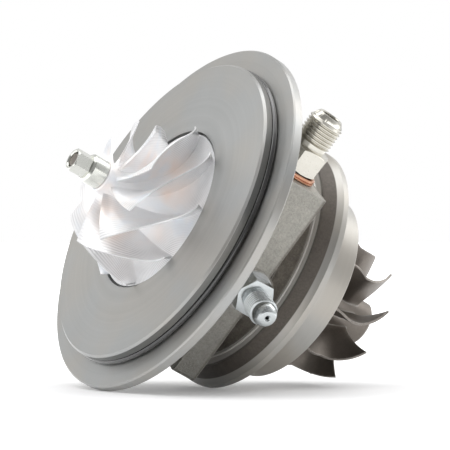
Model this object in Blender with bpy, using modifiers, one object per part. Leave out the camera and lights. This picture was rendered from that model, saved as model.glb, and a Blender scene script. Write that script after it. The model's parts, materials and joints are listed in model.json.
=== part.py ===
"""Ball-bearing turbo cartridge, resting on the rims of its two flanges.

Every piece is modelled about the rotor's own axis: local +Z runs from the turbine wheel to the
compressor wheel, with zero at the front face of the backplate's flange. One parent empty then
leans the whole assembly into its resting pose, with the floor at world z = 0.
Lengths in the constants are millimetres and angles are degrees.
"""

import math

import bmesh
import bpy
import numpy as np
from mathutils import Matrix, Vector

MM = 0.001
SEAM = 0.15                 # clearance between two pieces that touch in the real assembly
RUNNING = 0.3               # clearance between a turning piece and a fixed one
OVERLAP = 1.0               # how far a cutter reaches past the face that it opens
ROOTED = 3.0                # how deep a piece that is joined to another starts inside it

# Angles over which an edge stays sharp in shading.
SHARP = 35.0
SHARP_CASTING = 30.0
SHARP_BLADES = 28.0
SHARP_RING = 80.0

# How finely round shapes are divided.
RIM_STEPS = 54
BODY_STEPS = 42
WHEEL_STEPS = 32
SMALL_STEPS = 20
HOLE_STEPS = 10
HOLE_PHASE = 0.0            # turns a port's corners away from those of the boss that it enters
SEAL_SIDES = 6
ARC_STEPS = 5
HUB_POINTS = 7

# Driving radii: the housing's neck and the compressor wheel's disc.
NECK_RADIUS = 41.6
WHEEL_DISC_RADIUS = 33.4

# Centre housing, from its front face to the nose that holds the heat shield.
HOUSING_FRONT = -7.65
BODY_STEP = 2.4
BODY_RADIUS = NECK_RADIUS + BODY_STEP
BODY_REAR = -26.6
NECK_TAPER = 3.5
NECK_FILLET = 2.2
TURBINE_FLANGE_FRONT = -36.9
TURBINE_LIP_WIDTH = 7.2
TURBINE_LIP_RADIUS = NECK_RADIUS + TURBINE_LIP_WIDTH
TURBINE_FLARE = 2.1
TURBINE_CHAMFER_RADIUS = TURBINE_LIP_RADIUS + TURBINE_FLARE
TURBINE_CHAMFER_FRONT = -41.9
TURBINE_RIM_STEP = 2.0
TURBINE_RIM_RADIUS = TURBINE_CHAMFER_RADIUS + TURBINE_RIM_STEP
TURBINE_RIM_FRONT = -43.8
TURBINE_RIM_REAR = -46.2
NOSE_INSET = 1.7
NOSE_RADIUS = NECK_RADIUS - NOSE_INSET
NOSE_STEP = 1.5
NOSE_REAR = -63.1
NOSE_CHAMFER = 0.4
NOSE_WALL = 3.1
NOSE_RECESS_RADIUS = NOSE_RADIUS - NOSE_WALL
NOSE_RECESS_DEPTH = 5.2
TURBINE_WEB = 8.0
FRONT_CHAMBER_RADIUS = 18.0
TURBINE_SEAL_RADIUS = 9.3
HOUSING_RING_INSET = 5.7
HOUSING_RING_RADIUS = BODY_RADIUS - HOUSING_RING_INSET
HOUSING_RING_SECTION = 1.4

# Flat-sided block of the housing; the oil pad is its top, with a water face on each side.
BLOCK_FRONT = -9.5
BLOCK_OVERHANG = 0.9
BLOCK_REAR = BODY_REAR - BLOCK_OVERHANG
BLOCK_CORE = 20.0
BLOCK_EDGE = 0.5
PAD_ANGLE = -117.2
WATER_ANGLE = PAD_ANGLE + 90.0
LOWER_ANGLE = PAD_ANGLE - 90.0
DRAIN_ANGLE = PAD_ANGLE + 180.0
PAD_PROUD = 0.3
PAD_HEIGHT = BODY_RADIUS + PAD_PROUD
WATER_FACE_PROUD = 1.4
WATER_FACE_HEIGHT = BODY_RADIUS + WATER_FACE_PROUD
WATER_FACE_FOOT = 8.0
LOWER_FACE_SUNK = 1.4
LOWER_FACE_HEIGHT = BODY_RADIUS - LOWER_FACE_SUNK
LOWER_FACE_FOOT = 24.0
LOWER_CORNER_CHAMFER = 1.5
RELIEF_WIDTH = 6.6
RELIEF_HEIGHT = 12.8
RELIEF_REAR = -17.4

# Oil drain: a two-bolt pad opposite the oil pad, over a cavity round the bearing.
DRAIN_FACE_PROUD = 6.0
DRAIN_FACE_HEIGHT = BODY_RADIUS + DRAIN_FACE_PROUD
DRAIN_STATION = -22.8
DRAIN_PAD_RADIUS = 12.8
DRAIN_EAR_RADIUS = 7.0
DRAIN_HOLE_RADIUS = 8.5
DRAIN_BOLT_SPACING = 36.0
DRAIN_BOLT_HOLE_RADIUS = 3.4
DRAIN_BOLT_HOLE_DEPTH = 11.0
CAVITY_WIDTH = 15.0
CAVITY_TOP = 8.0
CAVITY_FLOOR = 33.0
CAVITY_REAR = -46.0

# Compressor backplate.
REAR_BOSS_LEDGE = 6.0
REAR_BOSS_RADIUS = BODY_RADIUS + REAR_BOSS_LEDGE
REAR_BOSS_HEIGHT = 3.2
PILOT_LEDGE = 14.2
PILOT_RADIUS = REAR_BOSS_RADIUS + PILOT_LEDGE
PILOT_HEIGHT = 6.4
PILOT_CHAMFER = 0.8
FLANGE_LEDGE = 9.8
FLANGE_RADIUS = PILOT_RADIUS + FLANGE_LEDGE
FLANGE_THICKNESS = 4.3
FLANGE_CHAMFER = 0.3
O_RING_SECTION = 2.6
O_RING_GROOVE_DEPTH = 1.9
SEAL_BORE_RADIUS = 8.2
RECESS_DEPTH = 3.5
RECESS_FLOOR = PILOT_HEIGHT - RECESS_DEPTH

# Screws of the backplate, in a ring under the compressor wheel.
SCREW_OUTSET = 7.0
SCREW_CIRCLE = FRONT_CHAMBER_RADIUS + SCREW_OUTSET
SCREW_COUNT = 4
SCREW_PHASE = 45.0
SCREW_RADIUS = 2.5
SCREW_HEAD_RADIUS = 4.3
SCREW_HEAD_HEIGHT = 4.8
SCREW_HEAD_DEPTH = 5.3
SCREW_SOCKET = 4.0
SCREW_SOCKET_DEPTH = 2.6
SCREW_REACH = 11.0
SCREW_TIP_ROOM = 1.5

# Compressor wheel.
WHEEL_RIM_THICKNESS = 2.6
COMPRESSOR_BLADES = 9
COMPRESSOR_PHASE = 4.8
INDUCER_INSET = 6.5
INDUCER_RADIUS = WHEEL_DISC_RADIUS - INDUCER_INSET
INDUCER_HEIGHT = 29.1
EXDUCER_PROUD = 2.7
EXDUCER_RADIUS = WHEEL_DISC_RADIUS + EXDUCER_PROUD
EXDUCER_HEIGHT = 9.6
COMPRESSOR_NOSE_RADIUS = 7.3
COMPRESSOR_NOSE_HEIGHT = 35.2
COMPRESSOR_NOSE_CHAMFER = 0.8
COMPRESSOR_SHOULDER = 0.6
COMPRESSOR_CURVE = 1.35
COMPRESSOR_HUB_CURVE = 1.9
COMPRESSOR_ROOT_THICKNESS = 1.7
COMPRESSOR_TIP_THICKNESS = 0.7
COMPRESSOR_ROOT_DEPTH = 0.9
COMPRESSOR_ROOT_INSET = 1.4
COMPRESSOR_WRAP = (-2.6, 122.3, -72.4, 18.5)    # angle along a blade, as powers of s
COMPRESSOR_LEAN = -12.0
COMPRESSOR_STATIONS = 8

# Oil inlet adapter.
OIL_STATION = -23.7
OIL_BOSS_PROUD = 0.7
OIL_BOSS_HEIGHT = PAD_HEIGHT + OIL_BOSS_PROUD
OIL_BOSS_RADIUS = 9.4
OIL_HEX = 14.3
OIL_HEX_HEIGHT = 6.8
OIL_THREAD_RADIUS = 5.55
OIL_THREAD_DEPTH = 0.65
OIL_THREAD_LENGTH = 8.4
OIL_NOSE_RADIUS = 4.5
OIL_NOSE_LENGTH = 5.6
OIL_NOSE_CONE = 2.9
OIL_HOLE_RADIUS = 4.4
OIL_STEM_LENGTH = 10.4
OIL_STEM_ROOM = 0.6
OIL_RESTRICTOR_RADIUS = 1.0
OIL_WAY_RADIUS = 1.6
THREAD_RELIEF = 2.4
THREAD_RUNOUT = 0.4

# Water port adapter, its washer and the two water ports.
WATER_STATION = -15.3
WATER_OFFSET = -29.7
WATER_HEX = 17.5
WATER_HEX_HEIGHT = 10.0
WATER_THREAD_RADIUS = 7.14
WATER_THREAD_DEPTH = 0.9
WATER_THREAD_LENGTH = 8.5
WATER_NOSE_LENGTH = 3.2
WATER_NOSE_CONE = 2.2
WATER_NOSE_WALL = 1.1
WATER_BORE_RADIUS = 3.8
WATER_STEM_LENGTH = 10.5
WATER_WASHER_RADIUS = 9.8
WATER_WASHER_THICKNESS = 2.2
WATER_WASHER_GROOVE = 0.35
LOWER_PORT_PROUD = 4.4
LOWER_PORT_HEIGHT = BODY_RADIUS + LOWER_PORT_PROUD
LOWER_PORT_OFFSET = 4.0
LOWER_PORT_STATION = -20.2
PORT_HOLE_RADIUS = 6.4
PORT_HOLE_DEPTH = 13.0
PORT_HOLE_POINT = 2.0
PORT_BOSS_RADIUS = 10.6
CONE_MARGIN = 0.2
CONE_FLAT = 0.96            # where a hexagon's chamfer cone meets its end face, in flats

# Shaft, bearing and seals.
SHAFT_STUB_RADIUS = 3.0
SHAFT_STUB_CHAMFER = 0.5
SHAFT_RADIUS = 4.0
SHAFT_SHOULDER_RADIUS = 6.6
BALL_COUNT = 8
BALL_RADIUS = 2.2
BALL_CLEARANCE = 0.2
PITCH_RADIUS = 8.2
RACE_PROUD = 0.3
RACE_POINTS = 4
FRONT_ROW = -16.0
REAR_ROW = -36.0
BEARING_WALL = 2.1
BEARING_RADIUS = PITCH_RADIUS + BALL_RADIUS + BEARING_WALL
BEARING_FRONT = -12.0
BEARING_REAR = -40.0
SHOULDER_RISE = 1.3
INNER_SHOULDER_RADIUS = PITCH_RADIUS - SHOULDER_RISE
OUTER_SHOULDER_RADIUS = PITCH_RADIUS + SHOULDER_RISE
CAGE_WALL = 0.9
CAGE_INNER_RADIUS = PITCH_RADIUS - CAGE_WALL / 2
CAGE_OUTER_RADIUS = PITCH_RADIUS + CAGE_WALL / 2
CAGE_HALF_LENGTH = 3.3
BEARING_LIP = 1.4
BEARING_OIL_HOLE = 1.0
SNAP_RING_THICKNESS = 1.1
SNAP_RING_WIDTH = 2.1
SNAP_RING_GAP = 4.4
SLINGER_RADIUS = 9.8
SLINGER_DISC = 1.0
SLINGER_CONE = 1.4
FRONT_GROOVE_DEPTH = 2.4
REAR_GROOVE_LIFT = 5.4
SEAL_GROOVE = 1.8
SEAL_RING_WIDTH = 1.5
SEAL_RING_PLAY = 0.08
SEAL_RING_SPLIT = 0.5

# Nut on the end of the shaft.
NUT_COLLAR_RADIUS = 6.6
NUT_COLLAR_HEIGHT = 5.35
NUT_COLLAR_CHAMFER = 0.8
NUT_CROWN_HEX = 8.3
NUT_CROWN_HEIGHT = 8.4
NUT_CROWN_CHAMFER = 0.7
SHAFT_END_DEPTH = 0.7

# Turbine wheel and the heat shield in front of it.
TURBINE_BLADES = 9
TURBINE_PHASE = -1.1
TURBINE_BACK = -64.0
TURBINE_INLET_INSET = 6.8
TURBINE_INLET_RADIUS = NOSE_RECESS_RADIUS - TURBINE_INLET_INSET
TURBINE_INLET_REAR = -71.5
TURBINE_INLET_LIFT = 0.9
TURBINE_SHROUD_INSET = 2.1
TURBINE_SHROUD_RADIUS = TURBINE_INLET_RADIUS - TURBINE_SHROUD_INSET
TURBINE_SHROUD_FRONT = -78.0
TURBINE_OUTLET_INSET = 2.7
TURBINE_OUTLET_RADIUS = TURBINE_INLET_RADIUS - TURBINE_OUTLET_INSET
TURBINE_OUTLET = -92.6
TURBINE_DISC_INSET = 4.5
TURBINE_DISC_RADIUS = TURBINE_INLET_RADIUS - TURBINE_DISC_INSET
TURBINE_DISC_THICKNESS = 1.4
TURBINE_HUB_RADIUS = 9.4
TURBINE_HUB_LENGTH = 3.0
TURBINE_HUB_END = -98.0
TURBINE_HUB_CHAMFER = 0.8
TURBINE_WELD_RADIUS = 2.4
TURBINE_WELD_LENGTH = 0.6
TURBINE_ROOT_THICKNESS = 2.0
TURBINE_TIP_THICKNESS = 1.1
TURBINE_ROOT_DEPTH = 0.8
TURBINE_ROOT_SINK = 0.5
TURBINE_HEX = 9.0
TURBINE_HEX_DEPTH = 3.0
INLET_SHARE = 0.35          # part of a blade's tip that faces the inlet
BACK_SHARE = 0.2            # part of a blade's root that runs over the disc's rim
TURBINE_STATIONS = (0.0, 0.1, 0.2, 0.4, 0.58, 0.74, 0.88, 1.0)
# Height and angle along a blade: nearly straight at the inlet, then scooped toward the outlet.
TURBINE_TURN = ((-92.6, 0.0), (-90.6, -7.0), (-88.6, -12.6), (-86.4, -17.2), (-84.0, -20.8),
                (-82.0, -22.8), (-79.0, -23.8), (-76.0, -23.4), (-70.0, -21.5), (-64.0, -21.0))
SHIELD_FLANGE = 5.6
SHIELD_DEPTH = 3.0
SHIELD_WALL = 1.0
SHIELD_CORNER = 0.6
SHIELD_SLOPE = 2.4
SHIELD_HOLE_CLEARANCE = 2.1


def material(name, colour, roughness, metallic):
    """Returns a new plain Principled material."""
    made = bpy.data.materials.new(name)
    made.use_nodes = True
    shader = made.node_tree.nodes["Principled BSDF"]
    shader.inputs["Base Color"].default_value = (*colour, 1.0)
    shader.inputs["Roughness"].default_value = roughness
    shader.inputs["Metallic"].default_value = metallic
    made.diffuse_color = (*colour, 1.0)
    return made


def clear_scene():
    """Removes the objects of the start-up scene."""
    for item in list(bpy.data.objects):
        bpy.data.objects.remove(item, do_unlink=True)


def collection(name):
    """Returns a new collection linked to the scene."""
    made = bpy.data.collections.new(name)
    bpy.context.scene.collection.children.link(made)
    return made


clear_scene()
PARTS = collection("turbo_cartridge")
CUTTERS = collection("cutters")
STEEL = material("machined_steel", (0.56, 0.56, 0.55), 0.35, 1.0)
ALUMINIUM = material("milled_aluminium", (0.86, 0.87, 0.88), 0.25, 1.0)
IRON = material("cast_iron", (0.33, 0.30, 0.27), 0.6, 0.8)
NICKEL_ALLOY = material("nickel_alloy", (0.36, 0.33, 0.30), 0.45, 1.0)
PLATED = material("plated_steel", (0.80, 0.81, 0.80), 0.22, 1.0)
COPPER = material("copper", (0.72, 0.38, 0.24), 0.35, 1.0)
RUBBER = material("rubber", (0.02, 0.02, 0.02), 0.3, 0.0)
BEARING_STEEL = material("bearing_steel", (0.70, 0.70, 0.71), 0.15, 1.0)
CAGE_POLYMER = material("cage_polymer", (0.45, 0.32, 0.18), 0.5, 0.0)
SHEET = material("stainless_sheet", (0.52, 0.50, 0.47), 0.4, 1.0)


def finish(item, surface, sharp=SHARP):
    """Gives an object its material and smooth shading with sharp edges kept.

    Each piece takes its own copy of the material, named after the piece.
    """
    own = surface.copy()
    own.name = item.name
    item.data.materials.clear()
    item.data.materials.append(own)
    item.data.shade_smooth()
    item.data.set_sharp_from_angle(angle=math.radians(sharp))


def from_bmesh(name, shape, group):
    """Makes an object from a bmesh and frees the bmesh."""
    mesh = bpy.data.meshes.new(name)
    shape.to_mesh(mesh)
    shape.free()
    item = bpy.data.objects.new(name, mesh)
    group.objects.link(item)
    if group is CUTTERS:
        item.hide_render = True
        item.display_type = "WIRE"
    return item


def turned(name, profile, steps, group=None, phase=None):
    """Turns a profile about local Z with a Screw modifier.

    The profile lists (radius, height) pairs in millimetres, down the outer side first.
    A profile that starts and ends on the axis stays open there; any other is closed.
    The default phase puts the middle of a flat, not a corner, straight below the axis.
    """
    group = group or PARTS
    angle = math.pi / steps if phase is None else math.radians(phase)
    shape = bmesh.new()
    corners = []
    for radius, height in profile:
        place = (radius * math.cos(angle) * MM, radius * math.sin(angle) * MM, height * MM)
        corners.append(shape.verts.new(place))
    for first, second in zip(corners, corners[1:]):
        shape.edges.new((first, second))
    if profile[0][0] > 0:
        shape.edges.new((corners[-1], corners[0]))
    item = from_bmesh(name, shape, group)
    screw = item.modifiers.new("turn", "SCREW")
    screw.axis = "Z"
    screw.angle = math.tau
    screw.steps = steps
    screw.render_steps = steps
    screw.use_merge_vertices = True
    screw.merge_threshold = 0.00001
    return item


def prism(name, outline, low, high, group=None):
    """Extrudes a flat outline of (x, y) millimetres between two heights with Solidify."""
    group = group or CUTTERS
    shape = bmesh.new()
    corners = [shape.verts.new((x * MM, y * MM, low * MM)) for x, y in outline]
    shape.faces.new(corners)
    bmesh.ops.recalc_face_normals(shape, faces=shape.faces)
    shape.normal_update()
    if next(iter(shape.faces)).normal.z < 0:
        bmesh.ops.reverse_faces(shape, faces=shape.faces)
    item = from_bmesh(name, shape, group)
    thick = item.modifiers.new("thickness", "SOLIDIFY")
    thick.thickness = (high - low) * MM
    thick.offset = 1.0
    return item


def hexagon(across_flats):
    """Returns the corners of a hexagon with flats facing +Y and -Y."""
    reach = across_flats / math.sqrt(3.0)
    return [(reach * math.cos(math.radians(60 * i)), reach * math.sin(math.radians(60 * i)))
            for i in range(6)]


def boolean(item, tool, operation):
    """Adds an exact Boolean modifier to an object."""
    step = item.modifiers.new(operation.lower(), "BOOLEAN")
    step.object = tool
    step.operation = operation
    step.solver = "EXACT"
    return step


def pad_direction(angle):
    """Returns the unit vector square to the rotor axis at an angle from local +X."""
    return Vector((math.cos(math.radians(angle)), math.sin(math.radians(angle)), 0.0))


def facing(angle, offset, station):
    """Returns the matrix of a port whose own +Z points outward at an angle.

    Its own +X runs along the rotor axis toward the turbine and its +Y across; offset moves it
    sideways along that +Y and station is its place along the rotor axis.
    """
    out = pad_direction(angle)
    down = Vector((0.0, 0.0, -1.0))
    across = out.cross(down)
    turn = Matrix((down, across, out)).transposed().to_4x4()
    place = across * offset * MM + Vector((0.0, 0.0, station * MM))
    return Matrix.Translation(place) @ turn


def at_pad(item, angle, offset, station):
    """Places a piece that was made about its own Z on a port."""
    item.matrix_world = facing(angle, offset, station)
    return item


def round_cutter(name, radius, low, high, steps=SMALL_STEPS):
    """Returns a plain cylinder between two heights, as a cutter."""
    return turned(name, [(0, high), (radius, high), (radius, low), (0, low)], steps, CUTTERS)


def screw_place(index):
    """Where one of the backplate's screws stands on its circle."""
    angle = math.radians(SCREW_PHASE + 360 * index / SCREW_COUNT)
    return Vector((math.cos(angle), math.sin(angle), 0.0)) * SCREW_CIRCLE * MM


def make_backplate():
    """The turned compressor backplate, with its V-band flange and recess for the wheel."""
    rear = -FLANGE_THICKNESS
    boss = rear - REAR_BOSS_HEIGHT
    hole = WHEEL_DISC_RADIUS + RUNNING * 2
    groove = O_RING_SECTION + 2 * SEAM
    profile = [
        (hole, PILOT_HEIGHT),
        (PILOT_RADIUS - PILOT_CHAMFER, PILOT_HEIGHT),
        (PILOT_RADIUS, PILOT_HEIGHT - PILOT_CHAMFER),
        (PILOT_RADIUS, groove),
        (PILOT_RADIUS - O_RING_GROOVE_DEPTH, groove),
        (PILOT_RADIUS - O_RING_GROOVE_DEPTH, 0.0),
        (FLANGE_RADIUS - FLANGE_CHAMFER, 0.0),
        (FLANGE_RADIUS, -FLANGE_CHAMFER),
        (FLANGE_RADIUS, rear + FLANGE_CHAMFER),
        (FLANGE_RADIUS - FLANGE_CHAMFER, rear),
        (REAR_BOSS_RADIUS, rear),
        (REAR_BOSS_RADIUS, boss),
        (SEAL_BORE_RADIUS, boss),
        (SEAL_BORE_RADIUS, RECESS_FLOOR),
        (hole, RECESS_FLOOR),
    ]
    plate = turned("compressor_backplate", profile, RIM_STEPS)
    head = SCREW_HEAD_RADIUS + RUNNING
    shank = SCREW_RADIUS + RUNNING
    for index in range(SCREW_COUNT):
        seat = RECESS_FLOOR - SCREW_HEAD_DEPTH
        stepped = [(0, RECESS_FLOOR + OVERLAP), (head, RECESS_FLOOR + OVERLAP), (head, seat),
                   (shank, seat), (shank, boss - OVERLAP), (0, boss - OVERLAP)]
        tool = turned("backplate_screw_hole_%d" % (index + 1), stepped, HOLE_STEPS, CUTTERS)
        tool.location = screw_place(index)
        boolean(plate, tool, "DIFFERENCE")
    finish(plate, STEEL)
    return plate


def make_backplate_screw(index):
    """One socket screw that holds the backplate, hidden under the compressor wheel."""
    seat = RECESS_FLOOR - SCREW_HEAD_DEPTH + SEAM
    top = seat + SCREW_HEAD_HEIGHT
    end = HOUSING_FRONT - SCREW_REACH
    profile = [(0, top), (SCREW_HEAD_RADIUS, top), (SCREW_HEAD_RADIUS, seat), (SCREW_RADIUS, seat),
               (SCREW_RADIUS, end), (0, end)]
    screw = turned("backplate_screw_%d" % (index + 1), profile, HOLE_STEPS)
    socket = prism("screw_socket_%d" % (index + 1), hexagon(SCREW_SOCKET),
                   top - SCREW_SOCKET_DEPTH, top + OVERLAP)
    boolean(screw, socket, "DIFFERENCE")
    screw.location = screw_place(index)
    socket.location = screw_place(index)
    finish(screw, BEARING_STEEL)
    return screw


def make_ring(name, centre_radius, centre_height, section, steps, sides, surface):
    """A round-section ring about the rotor axis."""
    profile = []
    for index in range(sides):
        angle = math.pi / 2 - math.tau * (index + 0.5) / sides
        profile.append((centre_radius + section / 2 * math.cos(angle),
                        centre_height + section / 2 * math.sin(angle)))
    ring = turned(name, profile, steps)
    finish(ring, surface, SHARP_RING)
    return ring


def housing_profile():
    """The turned outline of the centre housing, outside first and then the stepped bore."""
    recess = NOSE_REAR + NOSE_RECESS_DEPTH
    web = recess + TURBINE_WEB
    groove = HOUSING_RING_SECTION + SEAM
    reach = HOUSING_RING_SECTION / 2 + 2 * RUNNING
    bore = BEARING_RADIUS + SEAM
    return [
        (FRONT_CHAMBER_RADIUS, HOUSING_FRONT),
        (HOUSING_RING_RADIUS - reach, HOUSING_FRONT),
        (HOUSING_RING_RADIUS - reach, HOUSING_FRONT - groove),
        (HOUSING_RING_RADIUS + reach, HOUSING_FRONT - groove),
        (HOUSING_RING_RADIUS + reach, HOUSING_FRONT),
        (BODY_RADIUS, HOUSING_FRONT),
        (BODY_RADIUS, BODY_REAR),
        (NECK_RADIUS + NECK_TAPER / 3, BODY_REAR - NECK_TAPER / 3),
        (NECK_RADIUS, BODY_REAR - NECK_TAPER),
        (NECK_RADIUS, TURBINE_FLANGE_FRONT + NECK_FILLET),
        (NECK_RADIUS + NECK_FILLET * 0.3, TURBINE_FLANGE_FRONT + NECK_FILLET * 0.3),
        (NECK_RADIUS + NECK_FILLET, TURBINE_FLANGE_FRONT),
        (TURBINE_LIP_RADIUS - PILOT_CHAMFER, TURBINE_FLANGE_FRONT),
        (TURBINE_LIP_RADIUS, TURBINE_FLANGE_FRONT - PILOT_CHAMFER),
        (TURBINE_CHAMFER_RADIUS, TURBINE_CHAMFER_FRONT),
        (TURBINE_RIM_RADIUS, TURBINE_RIM_FRONT),
        (TURBINE_RIM_RADIUS, TURBINE_RIM_REAR),
        (NOSE_RADIUS + NOSE_STEP, TURBINE_RIM_REAR),
        (NOSE_RADIUS, TURBINE_RIM_REAR - NOSE_STEP),
        (NOSE_RADIUS, NOSE_REAR + NOSE_CHAMFER),
        (NOSE_RADIUS - NOSE_CHAMFER, NOSE_REAR),
        (NOSE_RECESS_RADIUS, NOSE_REAR),
        (NOSE_RECESS_RADIUS, recess),
        (TURBINE_SEAL_RADIUS, recess),
        (TURBINE_SEAL_RADIUS, web),
        (bore, web),
        (bore, BEARING_REAR - BEARING_LIP - SEAM),
        (bore - BEARING_LIP, BEARING_REAR - BEARING_LIP - SEAM),
        (bore - BEARING_LIP, BEARING_REAR - SEAM),
        (bore, BEARING_REAR - SEAM),
        (bore, BEARING_FRONT + SNAP_RING_THICKNESS + 2 * SEAM),
        (FRONT_CHAMBER_RADIUS, BEARING_FRONT + SNAP_RING_THICKNESS + 2 * SEAM),
    ]


def in_block(across, out):
    """Turns block coordinates (toward the water face, toward the oil pad) into local X, Y."""
    q = pad_direction(WATER_ANGLE)
    d = pad_direction(PAD_ANGLE)
    return (across * q.x + out * d.x, across * q.y + out * d.y)


def block_outline():
    """The block's corners: the water face, the oil pad's top and the lower face."""
    low = -LOWER_FACE_HEIGHT
    cut = LOWER_CORNER_CHAMFER
    corners = [(WATER_FACE_HEIGHT, PAD_HEIGHT), (WATER_FACE_HEIGHT, WATER_FACE_FOOT),
               (BLOCK_CORE, WATER_FACE_FOOT), (BLOCK_CORE, BLOCK_CORE), (-BLOCK_CORE, BLOCK_CORE),
               (-BLOCK_CORE, LOWER_FACE_FOOT), (low, LOWER_FACE_FOOT), (low, PAD_HEIGHT - cut),
               (low + cut, PAD_HEIGHT)]
    return [in_block(across, out) for across, out in corners]


def block_rectangle(left, right, low, high):
    """A rectangle of block coordinates, as an outline in local X, Y."""
    return [in_block(left, low), in_block(right, low), in_block(right, high), in_block(left, high)]


def drain_outline():
    """The two-bolt pad round the oil drain: a large round middle drawn out to an ear each side."""
    half = DRAIN_BOLT_SPACING / 2
    lean = math.acos((DRAIN_PAD_RADIUS - DRAIN_EAR_RADIUS) / half)
    arcs = [(half, DRAIN_EAR_RADIUS, -lean, lean),
            (0.0, DRAIN_PAD_RADIUS, lean, math.pi - lean),
            (-half, DRAIN_EAR_RADIUS, math.pi - lean, math.pi + lean),
            (0.0, DRAIN_PAD_RADIUS, math.pi + lean, math.tau - lean)]
    outline = []
    for centre, radius, start, end in arcs:
        for index in range(ARC_STEPS + 1):
            angle = start + (end - start) * index / ARC_STEPS
            outline.append((-radius * math.sin(angle), centre + radius * math.cos(angle)))
    return outline


def port_cutter(name, face):
    """A drilled water port with a pointed end, as a cutter about its own Z."""
    end = face - PORT_HOLE_DEPTH
    profile = [(0, face + OVERLAP), (PORT_HOLE_RADIUS, face + OVERLAP), (PORT_HOLE_RADIUS, end),
               (0, end - PORT_HOLE_POINT)]
    return turned(name, profile, SMALL_STEPS, CUTTERS, HOLE_PHASE)


def add_housing_forms(body):
    """Joins the block, the drain pad and the bosses to the turned body."""
    block = prism("housing_block", block_outline(), BLOCK_REAR, BLOCK_FRONT)
    edge = block.modifiers.new("cast_edges", "BEVEL")
    edge.width = BLOCK_EDGE * MM
    edge.segments = 1
    edge.limit_method = "ANGLE"
    edge.angle_limit = math.radians(SHARP)
    boolean(body, block, "UNION")
    inside = NECK_RADIUS - ROOTED
    pad = prism("drain_pad", drain_outline(), inside - DRAIN_EAR_RADIUS, DRAIN_FACE_HEIGHT)
    boolean(body, at_pad(pad, DRAIN_ANGLE, 0.0, DRAIN_STATION), "UNION")
    boss = round_cutter("lower_port_boss", PORT_BOSS_RADIUS, inside - ROOTED, LOWER_PORT_HEIGHT)
    boolean(body, at_pad(boss, LOWER_ANGLE, LOWER_PORT_OFFSET, LOWER_PORT_STATION), "UNION")
    oil_boss = round_cutter("oil_boss", OIL_BOSS_RADIUS, inside, OIL_BOSS_HEIGHT)
    boolean(body, at_pad(oil_boss, PAD_ANGLE, 0.0, OIL_STATION), "UNION")
    low = -LOWER_FACE_HEIGHT
    relief = block_rectangle(low - OVERLAP, low + RELIEF_WIDTH, PAD_HEIGHT - RELIEF_HEIGHT,
                             PAD_HEIGHT + OVERLAP)
    notch = prism("lower_corner_relief", relief, RELIEF_REAR, BLOCK_FRONT + OVERLAP)
    boolean(body, notch, "DIFFERENCE")


def drill_ports(body):
    """Drills the oil inlet down to the bearing, and the two water ports."""
    floor = OIL_BOSS_HEIGHT - OIL_STEM_LENGTH - OIL_STEM_ROOM
    point = floor - OIL_HOLE_RADIUS + OIL_WAY_RADIUS
    inlet = [(0, OIL_BOSS_HEIGHT + OVERLAP), (OIL_HOLE_RADIUS, OIL_BOSS_HEIGHT + OVERLAP),
             (OIL_HOLE_RADIUS, floor), (OIL_WAY_RADIUS, point),
             (OIL_WAY_RADIUS, OUTER_SHOULDER_RADIUS), (0, OUTER_SHOULDER_RADIUS)]
    oil_way = turned("oil_inlet_hole", inlet, SMALL_STEPS, CUTTERS, HOLE_PHASE)
    boolean(body, at_pad(oil_way, PAD_ANGLE, 0.0, OIL_STATION), "DIFFERENCE")
    water_way = port_cutter("water_port_hole", WATER_FACE_HEIGHT)
    boolean(body, at_pad(water_way, WATER_ANGLE, WATER_OFFSET, WATER_STATION), "DIFFERENCE")
    lower_way = port_cutter("lower_port_hole", LOWER_PORT_HEIGHT)
    boolean(body, at_pad(lower_way, LOWER_ANGLE, LOWER_PORT_OFFSET, LOWER_PORT_STATION),
            "DIFFERENCE")


def cut_drain(body):
    """Hollows the cavity round the bearing and opens the drain, with its bolt holes."""
    half = CAVITY_WIDTH / 2
    cavity = block_rectangle(-half, half, -CAVITY_FLOOR, -CAVITY_TOP)
    boolean(body, prism("oil_cavity", cavity, CAVITY_REAR, BLOCK_FRONT), "DIFFERENCE")
    way_out = round_cutter("drain_hole", DRAIN_HOLE_RADIUS, CAVITY_FLOOR - ROOTED,
                           DRAIN_FACE_HEIGHT + OVERLAP)
    boolean(body, at_pad(way_out, DRAIN_ANGLE, 0.0, DRAIN_STATION), "DIFFERENCE")
    for side in (-1, 1):
        bolt = round_cutter("drain_bolt_hole_%d" % (side + 2), DRAIN_BOLT_HOLE_RADIUS,
                            DRAIN_FACE_HEIGHT - DRAIN_BOLT_HOLE_DEPTH, DRAIN_FACE_HEIGHT + OVERLAP)
        at_pad(bolt, DRAIN_ANGLE, side * DRAIN_BOLT_SPACING / 2, DRAIN_STATION)
        boolean(body, bolt, "DIFFERENCE")


def make_housing():
    """The cast centre housing: neck, flat-sided block, turbine flange, ports and oil ways."""
    body = turned("center_housing", housing_profile(), BODY_STEPS)
    add_housing_forms(body)
    drill_ports(body)
    cut_drain(body)
    for index in range(SCREW_COUNT):
        tool = round_cutter("housing_screw_hole_%d" % (index + 1), SCREW_RADIUS + SEAM,
                            HOUSING_FRONT - SCREW_REACH - SCREW_TIP_ROOM, HOUSING_FRONT + OVERLAP,
                            HOLE_STEPS)
        tool.location = screw_place(index)
        boolean(body, tool, "DIFFERENCE")
    finish(body, IRON, SHARP_CASTING)
    return body


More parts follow.
